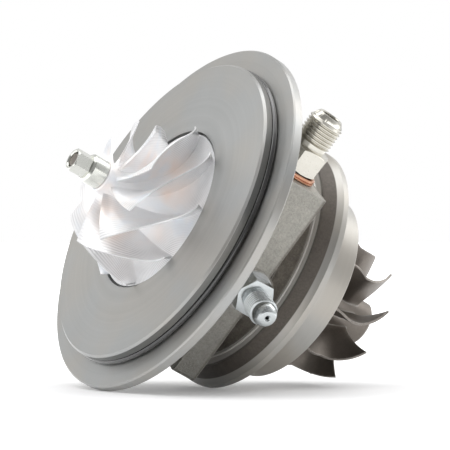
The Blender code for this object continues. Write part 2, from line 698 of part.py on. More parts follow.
def make_oil_fitting():
    """The oil inlet adapter: hexagon, thread, flared nose and a restrictor hole."""
    base = OIL_BOSS_HEIGHT + SEAM
    collar_top = base + OIL_HEX_HEIGHT
    thread = collar_top + THREAD_RELIEF
    nose = thread + OIL_THREAD_LENGTH
    tip = nose + OIL_NOSE_LENGTH
    root = OIL_THREAD_RADIUS - OIL_THREAD_DEPTH
    profile = [(0, tip), (OIL_NOSE_RADIUS * 0.5, tip), (OIL_NOSE_RADIUS * 0.65, tip - THREAD_RUNOUT),
               (OIL_NOSE_RADIUS, tip - OIL_NOSE_CONE), (OIL_NOSE_RADIUS, nose + THREAD_RUNOUT),
               (OIL_THREAD_RADIUS, nose), (OIL_THREAD_RADIUS, thread),
               (root, thread - THREAD_RUNOUT), (root, base + ROOTED), (0, base + ROOTED)]
    fitting = turned("oil_inlet_fitting", profile, SMALL_STEPS)
    collar = prism("oil_fitting_hexagon", hexagon(OIL_HEX), base, collar_top)
    soften_hexagon(collar, OIL_HEX, base, collar_top, False)
    boolean(fitting, collar, "UNION")
    end = OIL_BOSS_HEIGHT - OIL_STEM_LENGTH
    stem = round_cutter("oil_fitting_stem", OIL_HOLE_RADIUS - SEAM, end, base + ROOTED + OVERLAP)
    boolean(fitting, stem, "UNION")
    wide = OIL_HOLE_RADIUS / 2
    cone = nose - wide + OIL_RESTRICTOR_RADIUS
    bore = turned("oil_restrictor", [(0, tip + OVERLAP), (OIL_RESTRICTOR_RADIUS, tip + OVERLAP),
                                     (OIL_RESTRICTOR_RADIUS, nose), (wide, cone),
                                     (wide, end - OVERLAP), (0, end - OVERLAP)],
                  HOLE_STEPS, CUTTERS)
    boolean(fitting, bore, "DIFFERENCE")
    for item in (fitting, collar, stem, bore):
        at_pad(item, PAD_ANGLE, 0.0, OIL_STATION)
    finish(fitting, PLATED)
    return fitting


def soften_hexagon(collar, across_flats, low, high, both):
    """Chamfers a hexagon's corners by intersecting it with a turned cone."""
    flat = across_flats / 2
    reach = across_flats / math.sqrt(3.0)
    rise = (reach - flat) * math.tan(math.radians(40))
    wide = reach + CONE_MARGIN
    slope = rise / (wide - flat * CONE_FLAT)
    inner = flat * CONE_FLAT - OVERLAP / slope
    profile = [(0, high + OVERLAP), (inner, high + OVERLAP), (wide, high - rise)]
    if both:
        profile += [(wide, low + rise), (inner, low - OVERLAP), (0, low - OVERLAP)]
    else:
        profile += [(wide, low - OVERLAP), (0, low - OVERLAP)]
    cone = turned(collar.name + "_chamfer", profile, 36, CUTTERS)
    boolean(collar, cone, "INTERSECT")
    cone.parent = collar


def make_water_fitting():
    """The water port adapter with its hexagon, thread and flared nose."""
    base = WATER_FACE_HEIGHT + SEAM * 2 + WATER_WASHER_THICKNESS
    collar_top = base + WATER_HEX_HEIGHT
    thread = collar_top + THREAD_RELIEF
    nose = thread + WATER_THREAD_LENGTH
    tip = nose + WATER_NOSE_LENGTH
    root = WATER_THREAD_RADIUS - WATER_THREAD_DEPTH
    profile = [(0, tip), (WATER_BORE_RADIUS + WATER_NOSE_WALL, tip), (root, tip - WATER_NOSE_CONE),
               (root, nose + THREAD_RUNOUT), (WATER_THREAD_RADIUS, nose),
               (WATER_THREAD_RADIUS, thread), (root, thread - THREAD_RUNOUT),
               (root, base + ROOTED), (0, base + ROOTED)]
    fitting = turned("water_fitting", profile, SMALL_STEPS)
    collar = prism("water_fitting_hexagon", hexagon(WATER_HEX), base, collar_top)
    soften_hexagon(collar, WATER_HEX, base, collar_top, True)
    boolean(fitting, collar, "UNION")
    end = WATER_FACE_HEIGHT - WATER_STEM_LENGTH
    stem = round_cutter("water_fitting_stem", PORT_HOLE_RADIUS - SEAM, end,
                        base + ROOTED + OVERLAP)
    boolean(fitting, stem, "UNION")
    bore = round_cutter("water_fitting_bore", WATER_BORE_RADIUS, end - OVERLAP, tip + OVERLAP)
    boolean(fitting, bore, "DIFFERENCE")
    for item in (fitting, collar, stem, bore):
        at_pad(item, WATER_ANGLE, WATER_OFFSET, WATER_STATION)
    finish(fitting, PLATED)
    return fitting


def make_water_washer():
    """The copper sealing washer under the water fitting."""
    low = WATER_FACE_HEIGHT + SEAM
    high = low + WATER_WASHER_THICKNESS
    middle = (low + high) / 2
    outer = WATER_WASHER_RADIUS
    groove = WATER_WASHER_GROOVE
    profile = [(PORT_HOLE_RADIUS + SEAM, high), (outer, high), (outer, middle + groove / 2),
               (outer - groove, middle), (outer, middle - groove / 2), (outer, low),
               (PORT_HOLE_RADIUS + SEAM, low)]
    washer = turned("water_fitting_washer", profile, SMALL_STEPS)
    at_pad(washer, WATER_ANGLE, WATER_OFFSET, WATER_STATION)
    finish(washer, COPPER)
    return washer


def raceway(shoulder, height, side):
    """Points across a ball groove, from the upper edge to the lower one."""
    groove = BALL_RADIUS + BALL_CLEARANCE
    reach = abs(PITCH_RADIUS - shoulder)
    spread = math.acos(reach / groove)
    points = []
    for index in range(RACE_POINTS + 1):
        angle = spread - 2 * spread * index / RACE_POINTS
        points.append((PITCH_RADIUS + side * groove * math.cos(angle),
                       height + groove * math.sin(angle)))
    return points


def make_bearing_outer():
    """The one-piece outer ring of the bearing, with a groove for each row of balls."""
    inner = []
    for row in (REAR_ROW, FRONT_ROW):
        inner += list(reversed(raceway(OUTER_SHOULDER_RADIUS, row, 1)))
    profile = [
        (OUTER_SHOULDER_RADIUS, BEARING_FRONT),
        (BEARING_RADIUS, BEARING_FRONT),
        (BEARING_RADIUS, BEARING_REAR),
        (OUTER_SHOULDER_RADIUS, BEARING_REAR),
    ] + inner
    ring = turned("bearing_outer_ring", profile, SMALL_STEPS)
    hole = at_pad(round_cutter("bearing_oil_hole", BEARING_OIL_HOLE,
                               OUTER_SHOULDER_RADIUS - OVERLAP, BEARING_RADIUS + OVERLAP,
                               HOLE_STEPS),
                  PAD_ANGLE, 0.0, OIL_STATION)
    boolean(ring, hole, "DIFFERENCE")
    finish(ring, BEARING_STEEL)
    return ring


def make_inner_race(name, row, front, rear):
    """One inner race, clamped on the shaft."""
    profile = [(SHAFT_RADIUS + SEAM, front), (INNER_SHOULDER_RADIUS, front)]
    profile += raceway(INNER_SHOULDER_RADIUS, row, -1)
    profile += [(INNER_SHOULDER_RADIUS, rear), (SHAFT_RADIUS + SEAM, rear)]
    race = turned(name, profile, SMALL_STEPS)
    finish(race, BEARING_STEEL)
    return race


def make_ball(name, row, index):
    """One bearing ball."""
    shape = bmesh.new()
    bmesh.ops.create_icosphere(shape, subdivisions=1, radius=BALL_RADIUS * MM)
    ball = from_bmesh(name, shape, PARTS)
    angle = math.tau * index / BALL_COUNT
    ball.location = (PITCH_RADIUS * math.cos(angle) * MM, PITCH_RADIUS * math.sin(angle) * MM,
                     row * MM)
    finish(ball, BEARING_STEEL, 180)
    return ball


def make_cage(name, row):
    """The ring that spaces the balls of one row, with a round pocket for each."""
    profile = [
        (CAGE_INNER_RADIUS, row + CAGE_HALF_LENGTH),
        (CAGE_OUTER_RADIUS, row + CAGE_HALF_LENGTH),
        (CAGE_OUTER_RADIUS, row - CAGE_HALF_LENGTH),
        (CAGE_INNER_RADIUS, row - CAGE_HALF_LENGTH),
    ]
    cage = turned(name, profile, BALL_COUNT * 2)
    for index in range(BALL_COUNT):
        pocket = round_cutter("%s_pocket_%d" % (name, index + 1), BALL_RADIUS + BALL_CLEARANCE * 2,
                              CAGE_INNER_RADIUS - OVERLAP, CAGE_OUTER_RADIUS + OVERLAP, HOLE_STEPS)
        at_pad(pocket, 360 * index / BALL_COUNT, 0.0, row)
        boolean(cage, pocket, "DIFFERENCE")
    finish(cage, CAGE_POLYMER)
    return cage


def front_groove_top():
    """The front wall of the slinger's seal groove."""
    return RECESS_FLOOR + RUNNING - FRONT_GROOVE_DEPTH


def rear_groove_top():
    """The front wall of the turbine shaft's seal groove."""
    return NOSE_REAR + NOSE_RECESS_DEPTH + REAR_GROOVE_LIFT


def make_slinger():
    """The collar between bearing and compressor wheel, which carries the front seal ring."""
    outer = SEAL_BORE_RADIUS - RUNNING
    front = RECESS_FLOOR + RUNNING - SEAM
    groove = front_groove_top()
    disc = HOUSING_FRONT - FLANGE_CHAMFER
    bore = SHAFT_STUB_RADIUS + SEAM
    rear = BEARING_FRONT + RACE_PROUD + SEAM
    profile = [
        (bore, front),
        (outer, front),
        (outer, groove),
        (outer - SEAL_GROOVE, groove),
        (outer - SEAL_GROOVE, groove - SEAL_GROOVE),
        (outer, groove - SEAL_GROOVE),
        (outer, disc),
        (SLINGER_RADIUS, disc - SLINGER_DISC / 2),
        (SLINGER_RADIUS, disc - SLINGER_DISC * 1.5),
        (INNER_SHOULDER_RADIUS, rear + SLINGER_CONE),
        (INNER_SHOULDER_RADIUS, rear),
        (bore, rear),
    ]
    slinger = turned("oil_slinger", profile, SMALL_STEPS)
    finish(slinger, BEARING_STEEL)
    return slinger


def make_seal_ring(name, bore, groove_top):
    """A split piston ring that rests in its fixed bore and stands in the shaft's groove."""
    outer = bore - SEAL_RING_PLAY
    inner = bore - SEAL_GROOVE + RUNNING
    top = groove_top - (SEAL_GROOVE - SEAL_RING_WIDTH) / 2
    low = top - SEAL_RING_WIDTH
    ring = turned(name, [(inner, top), (outer, top), (outer, low), (inner, low)], SMALL_STEPS)
    half = SEAL_RING_SPLIT / 2
    reach = bore + OVERLAP
    split = prism(name + "_split", [(0, -half), (reach, -half), (reach, half), (0, half)],
                  low - OVERLAP, top + OVERLAP)
    boolean(ring, split, "DIFFERENCE")
    finish(ring, BEARING_STEEL)
    return ring


def make_snap_ring():
    """The open ring that keeps the bearing in the housing's bore."""
    low = BEARING_FRONT + SEAM
    top = low + SNAP_RING_THICKNESS
    inner = BEARING_RADIUS - SNAP_RING_WIDTH
    profile = [(inner, top), (BEARING_RADIUS, top), (BEARING_RADIUS, low), (inner, low)]
    ring = turned("bearing_retaining_ring", profile, SMALL_STEPS)
    reach = BEARING_RADIUS + OVERLAP
    half = SNAP_RING_GAP / 2
    gap = prism("retaining_ring_gap", [(0, -half), (reach, -half), (reach, half), (0, half)],
                low - OVERLAP, top + OVERLAP)
    boolean(ring, gap, "DIFFERENCE")
    finish(ring, BEARING_STEEL)
    return ring


def make_heat_shield():
    """The thin pressed dish between the housing and the turbine wheel."""
    recess = NOSE_REAR + NOSE_RECESS_DEPTH
    seat = recess - SEAM
    rim = NOSE_RECESS_RADIUS - SEAM
    hole = TURBINE_SEAL_RADIUS + SHIELD_HOLE_CLEARANCE
    step = rim - SHIELD_FLANGE
    low = seat - SHIELD_DEPTH
    slope = step - SHIELD_SLOPE
    profile = [(step, seat), (rim, seat), (rim, seat - SHIELD_WALL),
               (step + SHIELD_CORNER, seat - SHIELD_WALL), (slope, low - SHIELD_WALL),
               (hole, low - SHIELD_WALL), (hole, low), (slope - SHIELD_CORNER, low)]
    shield = turned("heat_shield", profile, WHEEL_STEPS)
    finish(shield, SHEET)
    return shield


def blade_rows(mean, root, tip, stations, spans=(0.0, 0.5, 1.0)):
    """Offsets a blade's mean surface both ways.

    mean(s, k) gives a point at stream position s and span k, and root and tip are the
    thicknesses there. Returns two grids of points, one for each side.
    """
    grid = np.array([[mean(s, k) for k in spans] for s in stations])
    along = np.gradient(grid, axis=0)
    across = np.gradient(grid, axis=1)
    normal = np.cross(along, across)
    normal /= np.linalg.norm(normal, axis=2, keepdims=True)
    half = np.array([(root + (tip - root) * k) / 2 for k in spans])[None, :, None]
    return grid + normal * half, grid - normal * half


def blade_set(name, sides, count, phase):
    """Skins the two sides of a blade into a closed solid and repeats it around the axis."""
    first, second = sides
    rows, columns = first.shape[:2]
    shape = bmesh.new()
    for index in range(count):
        angle = math.radians(phase + 360.0 * index / count)
        turn = np.array([[math.cos(angle), -math.sin(angle), 0.0],
                         [math.sin(angle), math.cos(angle), 0.0], [0.0, 0.0, 1.0]])
        one = [[shape.verts.new(turn @ first[i, j] * MM) for j in range(columns)]
               for i in range(rows)]
        two = [[shape.verts.new(turn @ second[i, j] * MM) for j in range(columns)]
               for i in range(rows)]
        for i in range(rows - 1):
            for j in range(columns - 1):
                shape.faces.new((one[i][j], one[i + 1][j], one[i + 1][j + 1], one[i][j + 1]))
                shape.faces.new((two[i][j], two[i][j + 1], two[i + 1][j + 1], two[i + 1][j]))
        loop = [(i, 0) for i in range(rows)] + [(rows - 1, j) for j in range(1, columns)]
        loop += [(i, columns - 1) for i in range(rows - 2, -1, -1)]
        loop += [(0, j) for j in range(columns - 2, 0, -1)]
        for (i, j), (m, n) in zip(loop, loop[1:] + loop[:1]):
            shape.faces.new((one[i][j], two[i][j], two[m][n], one[m][n]))
    bmesh.ops.triangulate(shape, faces=shape.faces)
    bmesh.ops.recalc_face_normals(shape, faces=shape.faces)
    return from_bmesh(name, shape, CUTTERS)


def polar(radius, angle, height):
    """A point from its radius, its angle in degrees and its height."""
    return np.array([radius * math.cos(math.radians(angle)),
                     radius * math.sin(math.radians(angle)), height])


def eased(start, end, s, curve):
    """A meridional curve that leaves along the axis and arrives square to it."""
    sine = math.sin(math.pi * s / 2) ** (2 / curve)
    cosine = math.cos(math.pi * s / 2) ** (2 / curve) if s < 1 else 0.0
    return start[0] + (end[0] - start[0]) * (1 - cosine), start[1] + (end[1] - start[1]) * sine


def compressor_mean(s, k):
    """A point on the mean surface of a compressor blade; k runs from the root to the tip."""
    rim = RECESS_FLOOR + RUNNING + WHEEL_RIM_THICKNESS
    tip_r, tip_z = eased((INDUCER_RADIUS, INDUCER_HEIGHT), (EXDUCER_RADIUS, EXDUCER_HEIGHT), s,
                         COMPRESSOR_CURVE)
    root_r, root_z = eased((COMPRESSOR_NOSE_RADIUS, INDUCER_HEIGHT + COMPRESSOR_SHOULDER),
                           (WHEEL_DISC_RADIUS - COMPRESSOR_ROOT_INSET, rim), s,
                           COMPRESSOR_HUB_CURVE)
    root_r -= COMPRESSOR_ROOT_DEPTH * (1 - s)
    root_z -= COMPRESSOR_SHOULDER * s
    wrap = sum(share * s ** power for power, share in enumerate(COMPRESSOR_WRAP))
    lean = COMPRESSOR_LEAN * (1 - s) ** 1.5 * (1 - k)
    radius = root_r + (tip_r - root_r) * k
    height = root_z + (tip_z - root_z) * k
    return polar(radius, wrap + lean, height)


def make_compressor_wheel():
    """The compressor wheel, milled from solid, with full-length swept blades."""
    back = RECESS_FLOOR + RUNNING
    rim = back + WHEEL_RIM_THICKNESS
    bore = SHAFT_STUB_RADIUS + SEAM
    nose = COMPRESSOR_NOSE_RADIUS
    top = COMPRESSOR_NOSE_HEIGHT
    profile = [(bore, top), (nose - COMPRESSOR_NOSE_CHAMFER, top),
               (nose, top - COMPRESSOR_NOSE_CHAMFER)]
    for index in range(HUB_POINTS + 1):
        profile.append(eased((nose, INDUCER_HEIGHT + COMPRESSOR_SHOULDER),
                             (WHEEL_DISC_RADIUS, rim), index / HUB_POINTS, COMPRESSOR_HUB_CURVE))
    profile += [(WHEEL_DISC_RADIUS, back), (bore, back)]
    wheel = turned("compressor_wheel", profile, WHEEL_STEPS)
    stations = np.linspace(0, 1, COMPRESSOR_STATIONS)
    sides = blade_rows(compressor_mean, COMPRESSOR_ROOT_THICKNESS, COMPRESSOR_TIP_THICKNESS,
                       stations)
    blades = blade_set("compressor_blades", sides, COMPRESSOR_BLADES, COMPRESSOR_PHASE)
    boolean(wheel, blades, "UNION")
    finish(wheel, ALUMINIUM, SHARP_BLADES)
    return wheel


def turbine_angle(height):
    """How far round a turbine blade has turned at a height, from its outlet tip."""
    heights, angles = zip(*TURBINE_TURN)
    return float(np.interp(height, heights, angles))


def turbine_hub(s):
    """The hub line of the turbine wheel, from the disc's rim to the outlet end."""
    sine = math.sin(math.pi * s / 2)
    cosine = math.cos(math.pi * s / 2) if s < 1 else 0.0
    start = TURBINE_BACK - TURBINE_DISC_THICKNESS
    end = TURBINE_OUTLET + TURBINE_HUB_LENGTH
    radius = TURBINE_HUB_RADIUS + (TURBINE_DISC_RADIUS - TURBINE_HUB_RADIUS) * (1 - sine)
    return radius, start + (end - start) * (1 - cosine)


def turbine_mean(s, k):
    """A point on the mean surface of a turbine blade; k runs from the root to the tip."""
    if s < INLET_SHARE:
        share = s / INLET_SHARE
        start, end = TURBINE_INLET_REAR, TURBINE_SHROUD_FRONT
        tip_r = TURBINE_INLET_RADIUS + (TURBINE_SHROUD_RADIUS - TURBINE_INLET_RADIUS) * share ** 1.6
    else:
        share = (s - INLET_SHARE) / (1 - INLET_SHARE)
        start, end = TURBINE_SHROUD_FRONT, TURBINE_OUTLET
        tip_r = TURBINE_SHROUD_RADIUS + (TURBINE_OUTLET_RADIUS - TURBINE_SHROUD_RADIUS) * share
    tip_z = start + (end - start) * share
    root_r, root_z = turbine_hub(s)
    settled = min(s / BACK_SHARE, 1)
    root_r += (TURBINE_INLET_RADIUS - root_r) * (1 - settled) - TURBINE_ROOT_DEPTH * settled
    root_z += (TURBINE_BACK - TURBINE_INLET_LIFT - root_z) * (1 - settled)
    root_z += TURBINE_ROOT_SINK * settled
    radius = root_r + (tip_r - root_r) * k
    height = root_z + (tip_z - root_z) * k
    return polar(radius, turbine_angle(height), height)


def make_turbine_wheel():
    """The turbine wheel with its welded shaft, in one piece."""
    seal = NOSE_REAR + NOSE_RECESS_DEPTH
    journal = TURBINE_SEAL_RADIUS - RUNNING
    stub_top = nut_top() - SHAFT_END_DEPTH
    profile = [(0, stub_top), (SHAFT_STUB_RADIUS - SHAFT_STUB_CHAMFER, stub_top),
               (SHAFT_STUB_RADIUS, stub_top - SHAFT_STUB_CHAMFER),
               (SHAFT_STUB_RADIUS, BEARING_FRONT + RACE_PROUD),
               (SHAFT_RADIUS, BEARING_FRONT + RACE_PROUD - SHAFT_STUB_CHAMFER),
               (SHAFT_RADIUS, BEARING_REAR - RACE_PROUD - SEAM),
               (SHAFT_SHOULDER_RADIUS, BEARING_REAR - RACE_PROUD - SEAM),
               (SHAFT_SHOULDER_RADIUS, seal + TURBINE_WEB + SHAFT_STUB_CHAMFER),
               (journal, seal + TURBINE_WEB - SHAFT_STUB_CHAMFER),
               (journal, rear_groove_top()),
               (journal - SEAL_GROOVE, rear_groove_top()),
               (journal - SEAL_GROOVE, rear_groove_top() - SEAL_GROOVE),
               (journal, rear_groove_top() - SEAL_GROOVE),
               (journal, TURBINE_BACK + TURBINE_WELD_LENGTH),
               (journal + TURBINE_WELD_RADIUS, TURBINE_BACK),
               (TURBINE_DISC_RADIUS, TURBINE_BACK)]
    for index in range(HUB_POINTS + 1):
        profile.append(turbine_hub(index / HUB_POINTS))
    profile += [(TURBINE_HUB_RADIUS, TURBINE_HUB_END + TURBINE_HUB_CHAMFER),
                (TURBINE_HUB_RADIUS - TURBINE_HUB_CHAMFER, TURBINE_HUB_END), (0, TURBINE_HUB_END)]
    wheel = turned("turbine_wheel", profile, WHEEL_STEPS)
    sides = blade_rows(turbine_mean, TURBINE_ROOT_THICKNESS, TURBINE_TIP_THICKNESS,
                       TURBINE_STATIONS)
    blades = blade_set("turbine_blades", sides, TURBINE_BLADES, TURBINE_PHASE)
    boolean(wheel, blades, "UNION")
    drive = prism("turbine_hub_hexagon", hexagon(TURBINE_HEX), TURBINE_HUB_END - OVERLAP,
                  TURBINE_HUB_END + TURBINE_HEX_DEPTH)
    boolean(wheel, drive, "DIFFERENCE")
    finish(wheel, NICKEL_ALLOY, SHARP_BLADES)
    return wheel


def nut_top():
    """The height of the nut's end over the flange's front face."""
    return COMPRESSOR_NOSE_HEIGHT + SEAM + NUT_COLLAR_HEIGHT + NUT_CROWN_HEIGHT


def make_shaft_nut():
    """The stepped nut that clamps the compressor wheel."""
    low = COMPRESSOR_NOSE_HEIGHT + SEAM
    step = low + NUT_COLLAR_HEIGHT
    top = nut_top()
    wide = NUT_COLLAR_RADIUS
    cut = NUT_COLLAR_CHAMFER
    collar = turned("shaft_nut", [(0, step), (wide - cut, step), (wide, step - cut), (wide, low),
                                  (0, low)], SMALL_STEPS)
    crown = prism("nut_crown", hexagon(NUT_CROWN_HEX), step - ROOTED, top)
    reach = NUT_CROWN_HEX / math.sqrt(3.0) + CONE_MARGIN
    shoulder = top - NUT_CROWN_CHAMFER
    slope = (reach - NUT_CROWN_HEX / 2) / NUT_CROWN_CHAMFER
    inner = NUT_CROWN_HEX / 2 - slope * OVERLAP
    shave = turned("nut_crown_chamfer", [(0, top + OVERLAP), (inner, top + OVERLAP),
                                         (reach, shoulder), (reach, step - ROOTED - OVERLAP),
                                         (0, step - ROOTED - OVERLAP)], SMALL_STEPS, CUTTERS)
    boolean(crown, shave, "INTERSECT")
    boolean(collar, crown, "UNION")
    hollow = round_cutter("nut_bore", SHAFT_STUB_RADIUS + SEAM, low - OVERLAP, top + OVERLAP)
    boolean(collar, hollow, "DIFFERENCE")
    finish(collar, PLATED)
    return collar


def rest_pose():
    """Leans the assembly onto the floor, on the flats of the two flange rims."""
    front = FLANGE_RADIUS * math.cos(math.pi / RIM_STEPS)
    rear = TURBINE_RIM_RADIUS * math.cos(math.pi / BODY_STEPS)
    front_height = -FLANGE_THICKNESS + FLANGE_CHAMFER
    lean = math.atan2(front - rear, front_height - TURBINE_RIM_REAR)
    holder = bpy.data.objects.new("rotor_axis", None)
    PARTS.objects.link(holder)
    drop = front * math.cos(lean) - front_height * math.sin(lean)
    left = nut_top() * math.cos(lean) + NUT_CROWN_HEX / 2 * math.sin(lean)
    right = TURBINE_OUTLET_RADIUS * math.sin(lean) - TURBINE_OUTLET * math.cos(lean)
    holder.rotation_euler = (0.0, lean - math.pi / 2, 0.0)
    holder.location = ((left - right) / 2 * MM, 0.0, drop * MM)
    return holder


def build():
    """Makes every piece, then hangs them all on the leaning axis."""
    make_backplate()
    make_ring("backplate_o_ring", PILOT_RADIUS - O_RING_GROOVE_DEPTH + SEAM + O_RING_SECTION / 2,
              O_RING_SECTION / 2 + SEAM, O_RING_SECTION, BODY_STEPS, SEAL_SIDES, RUBBER)
    make_ring("housing_o_ring", HOUSING_RING_RADIUS,
              HOUSING_FRONT - HOUSING_RING_SECTION / 2 - SEAM / 2, HOUSING_RING_SECTION,
              WHEEL_STEPS, SEAL_SIDES, RUBBER)
    for index in range(SCREW_COUNT):
        make_backplate_screw(index)
    make_housing()
    make_oil_fitting()
    make_water_fitting()
    make_water_washer()
    make_bearing_outer()
    make_snap_ring()
    make_heat_shield()
    front = BEARING_FRONT + RACE_PROUD
    rear = BEARING_REAR - RACE_PROUD
    make_inner_race("front_inner_race", FRONT_ROW, front, (front + rear) / 2 + SEAM / 2)
    make_inner_race("rear_inner_race", REAR_ROW, (front + rear) / 2 - SEAM / 2, rear)
    for name, row in (("front", FRONT_ROW), ("rear", REAR_ROW)):
        make_cage(name + "_ball_cage", row)
        for index in range(BALL_COUNT):
            make_ball("%s_ball_%d" % (name, index + 1), row, index)
    make_slinger()
    make_seal_ring("front_seal_ring", SEAL_BORE_RADIUS, front_groove_top())
    make_seal_ring("rear_seal_ring", TURBINE_SEAL_RADIUS, rear_groove_top())
    make_compressor_wheel()
    make_turbine_wheel()
    make_shaft_nut()
    holder = rest_pose()
    for item in list(PARTS.objects) + list(CUTTERS.objects):
        if item is not holder and item.parent is None:
            item.parent = holder


build()
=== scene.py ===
"""Looks of the turbo cartridge: fine meshes, finishes, floor, light and camera.

Every new piece is modelled in millimetres in the rotor's own frame, whose +Z runs from the
turbine wheel to the compressor wheel with zero at the front face of the backplate's flange,
and is then carried into the row frame. Angles are degrees unless a name says otherwise.
"""

from __future__ import annotations

import json
import logging
import math
from dataclasses import dataclass, field
from enum import Enum
from typing import Callable, Sequence, Union

import bmesh
import bpy
from mathutils import Matrix, Vector

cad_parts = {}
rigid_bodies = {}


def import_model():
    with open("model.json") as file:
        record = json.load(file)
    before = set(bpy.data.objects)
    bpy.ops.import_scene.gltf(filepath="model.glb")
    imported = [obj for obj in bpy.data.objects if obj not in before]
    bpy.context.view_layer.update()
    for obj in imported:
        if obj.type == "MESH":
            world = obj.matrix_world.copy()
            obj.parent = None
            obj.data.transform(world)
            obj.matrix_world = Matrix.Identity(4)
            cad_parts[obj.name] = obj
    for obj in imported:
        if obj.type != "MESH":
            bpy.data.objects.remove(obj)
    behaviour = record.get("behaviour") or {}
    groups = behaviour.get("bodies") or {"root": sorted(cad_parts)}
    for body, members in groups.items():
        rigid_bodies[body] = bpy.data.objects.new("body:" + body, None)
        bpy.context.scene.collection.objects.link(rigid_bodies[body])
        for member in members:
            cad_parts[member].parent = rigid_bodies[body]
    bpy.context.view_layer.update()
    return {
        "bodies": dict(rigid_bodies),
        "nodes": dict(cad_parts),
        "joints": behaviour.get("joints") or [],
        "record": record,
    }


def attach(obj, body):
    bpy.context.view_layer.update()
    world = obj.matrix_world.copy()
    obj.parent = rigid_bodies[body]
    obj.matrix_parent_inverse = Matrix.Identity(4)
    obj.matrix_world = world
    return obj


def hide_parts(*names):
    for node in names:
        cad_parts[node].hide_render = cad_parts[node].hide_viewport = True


LOG = logging.getLogger("turbo_cartridge")
MM = 0.001
Profile = Sequence[tuple[float, float]]
Socket = bpy.types.NodeSocket
Input = Union[Socket, float, Sequence[float]]


class Slot(Enum):
    """The record's material slots."""

    MACHINED_STEEL = "machined_steel"
    MILLED_ALUMINIUM = "milled_aluminium"
    CAST_IRON = "cast_iron"
    NICKEL_ALLOY = "nickel_alloy"
    PLATED_STEEL = "plated_steel"
    COPPER = "copper"
    RUBBER = "rubber"
    BEARING_STEEL = "bearing_steel"
    CAGE_POLYMER = "cage_polymer"
    STAINLESS_SHEET = "stainless_sheet"


@dataclass(frozen=True)
class RotorFrame:
    """The rotor's own frame, as it lies in the row frame.

    Args:
        origin: where the flange's front face meets the rotor's axis, in metres.
        along: unit vector toward the compressor wheel.
    """

    origin: Vector
    along: Vector

    @classmethod
    def from_joint(cls, joint: dict) -> "RotorFrame":
        """Reads the frame from the rotor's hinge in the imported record."""
        return cls(Vector(joint["pos_m"]), Vector(joint["axis"]).normalized())

    @property
    def turn(self) -> Matrix:
        """The rotation alone."""
        across = Vector((0.0, 1.0, 0.0))
        up = across.cross(self.along)
        return Matrix((up, across, self.along)).transposed()

    @property
    def matrix(self) -> Matrix:
        """Carries millimetres of the rotor's frame into metres of the row frame."""
        return Matrix.Translation(self.origin) @ self.turn.to_4x4() @ Matrix.Scale(MM, 4)

    def port(self, angle: float, offset: float, station: float) -> Matrix:
        """Places a port that was modelled about its own Z.

        Args:
            angle: direction that the port faces, from the rotor frame's +X.
            offset: sideways place, in millimetres.
            station: place along the rotor's axis, in millimetres.

        Returns:
            The matrix from the port's millimetres to the row frame.
        """
        out = direction(angle)
        down = Vector((0.0, 0.0, -1.0))
        across = out.cross(down)
        turn = Matrix((down, across, out)).transposed().to_4x4()
        place = across * offset + Vector((0.0, 0.0, station))
        return self.matrix @ Matrix.Translation(place) @ turn


def direction(angle: float) -> Vector:
    """Returns the unit vector square to the rotor's axis at an angle."""
    return Vector((math.cos(math.radians(angle)), math.sin(math.radians(angle)), 0.0))


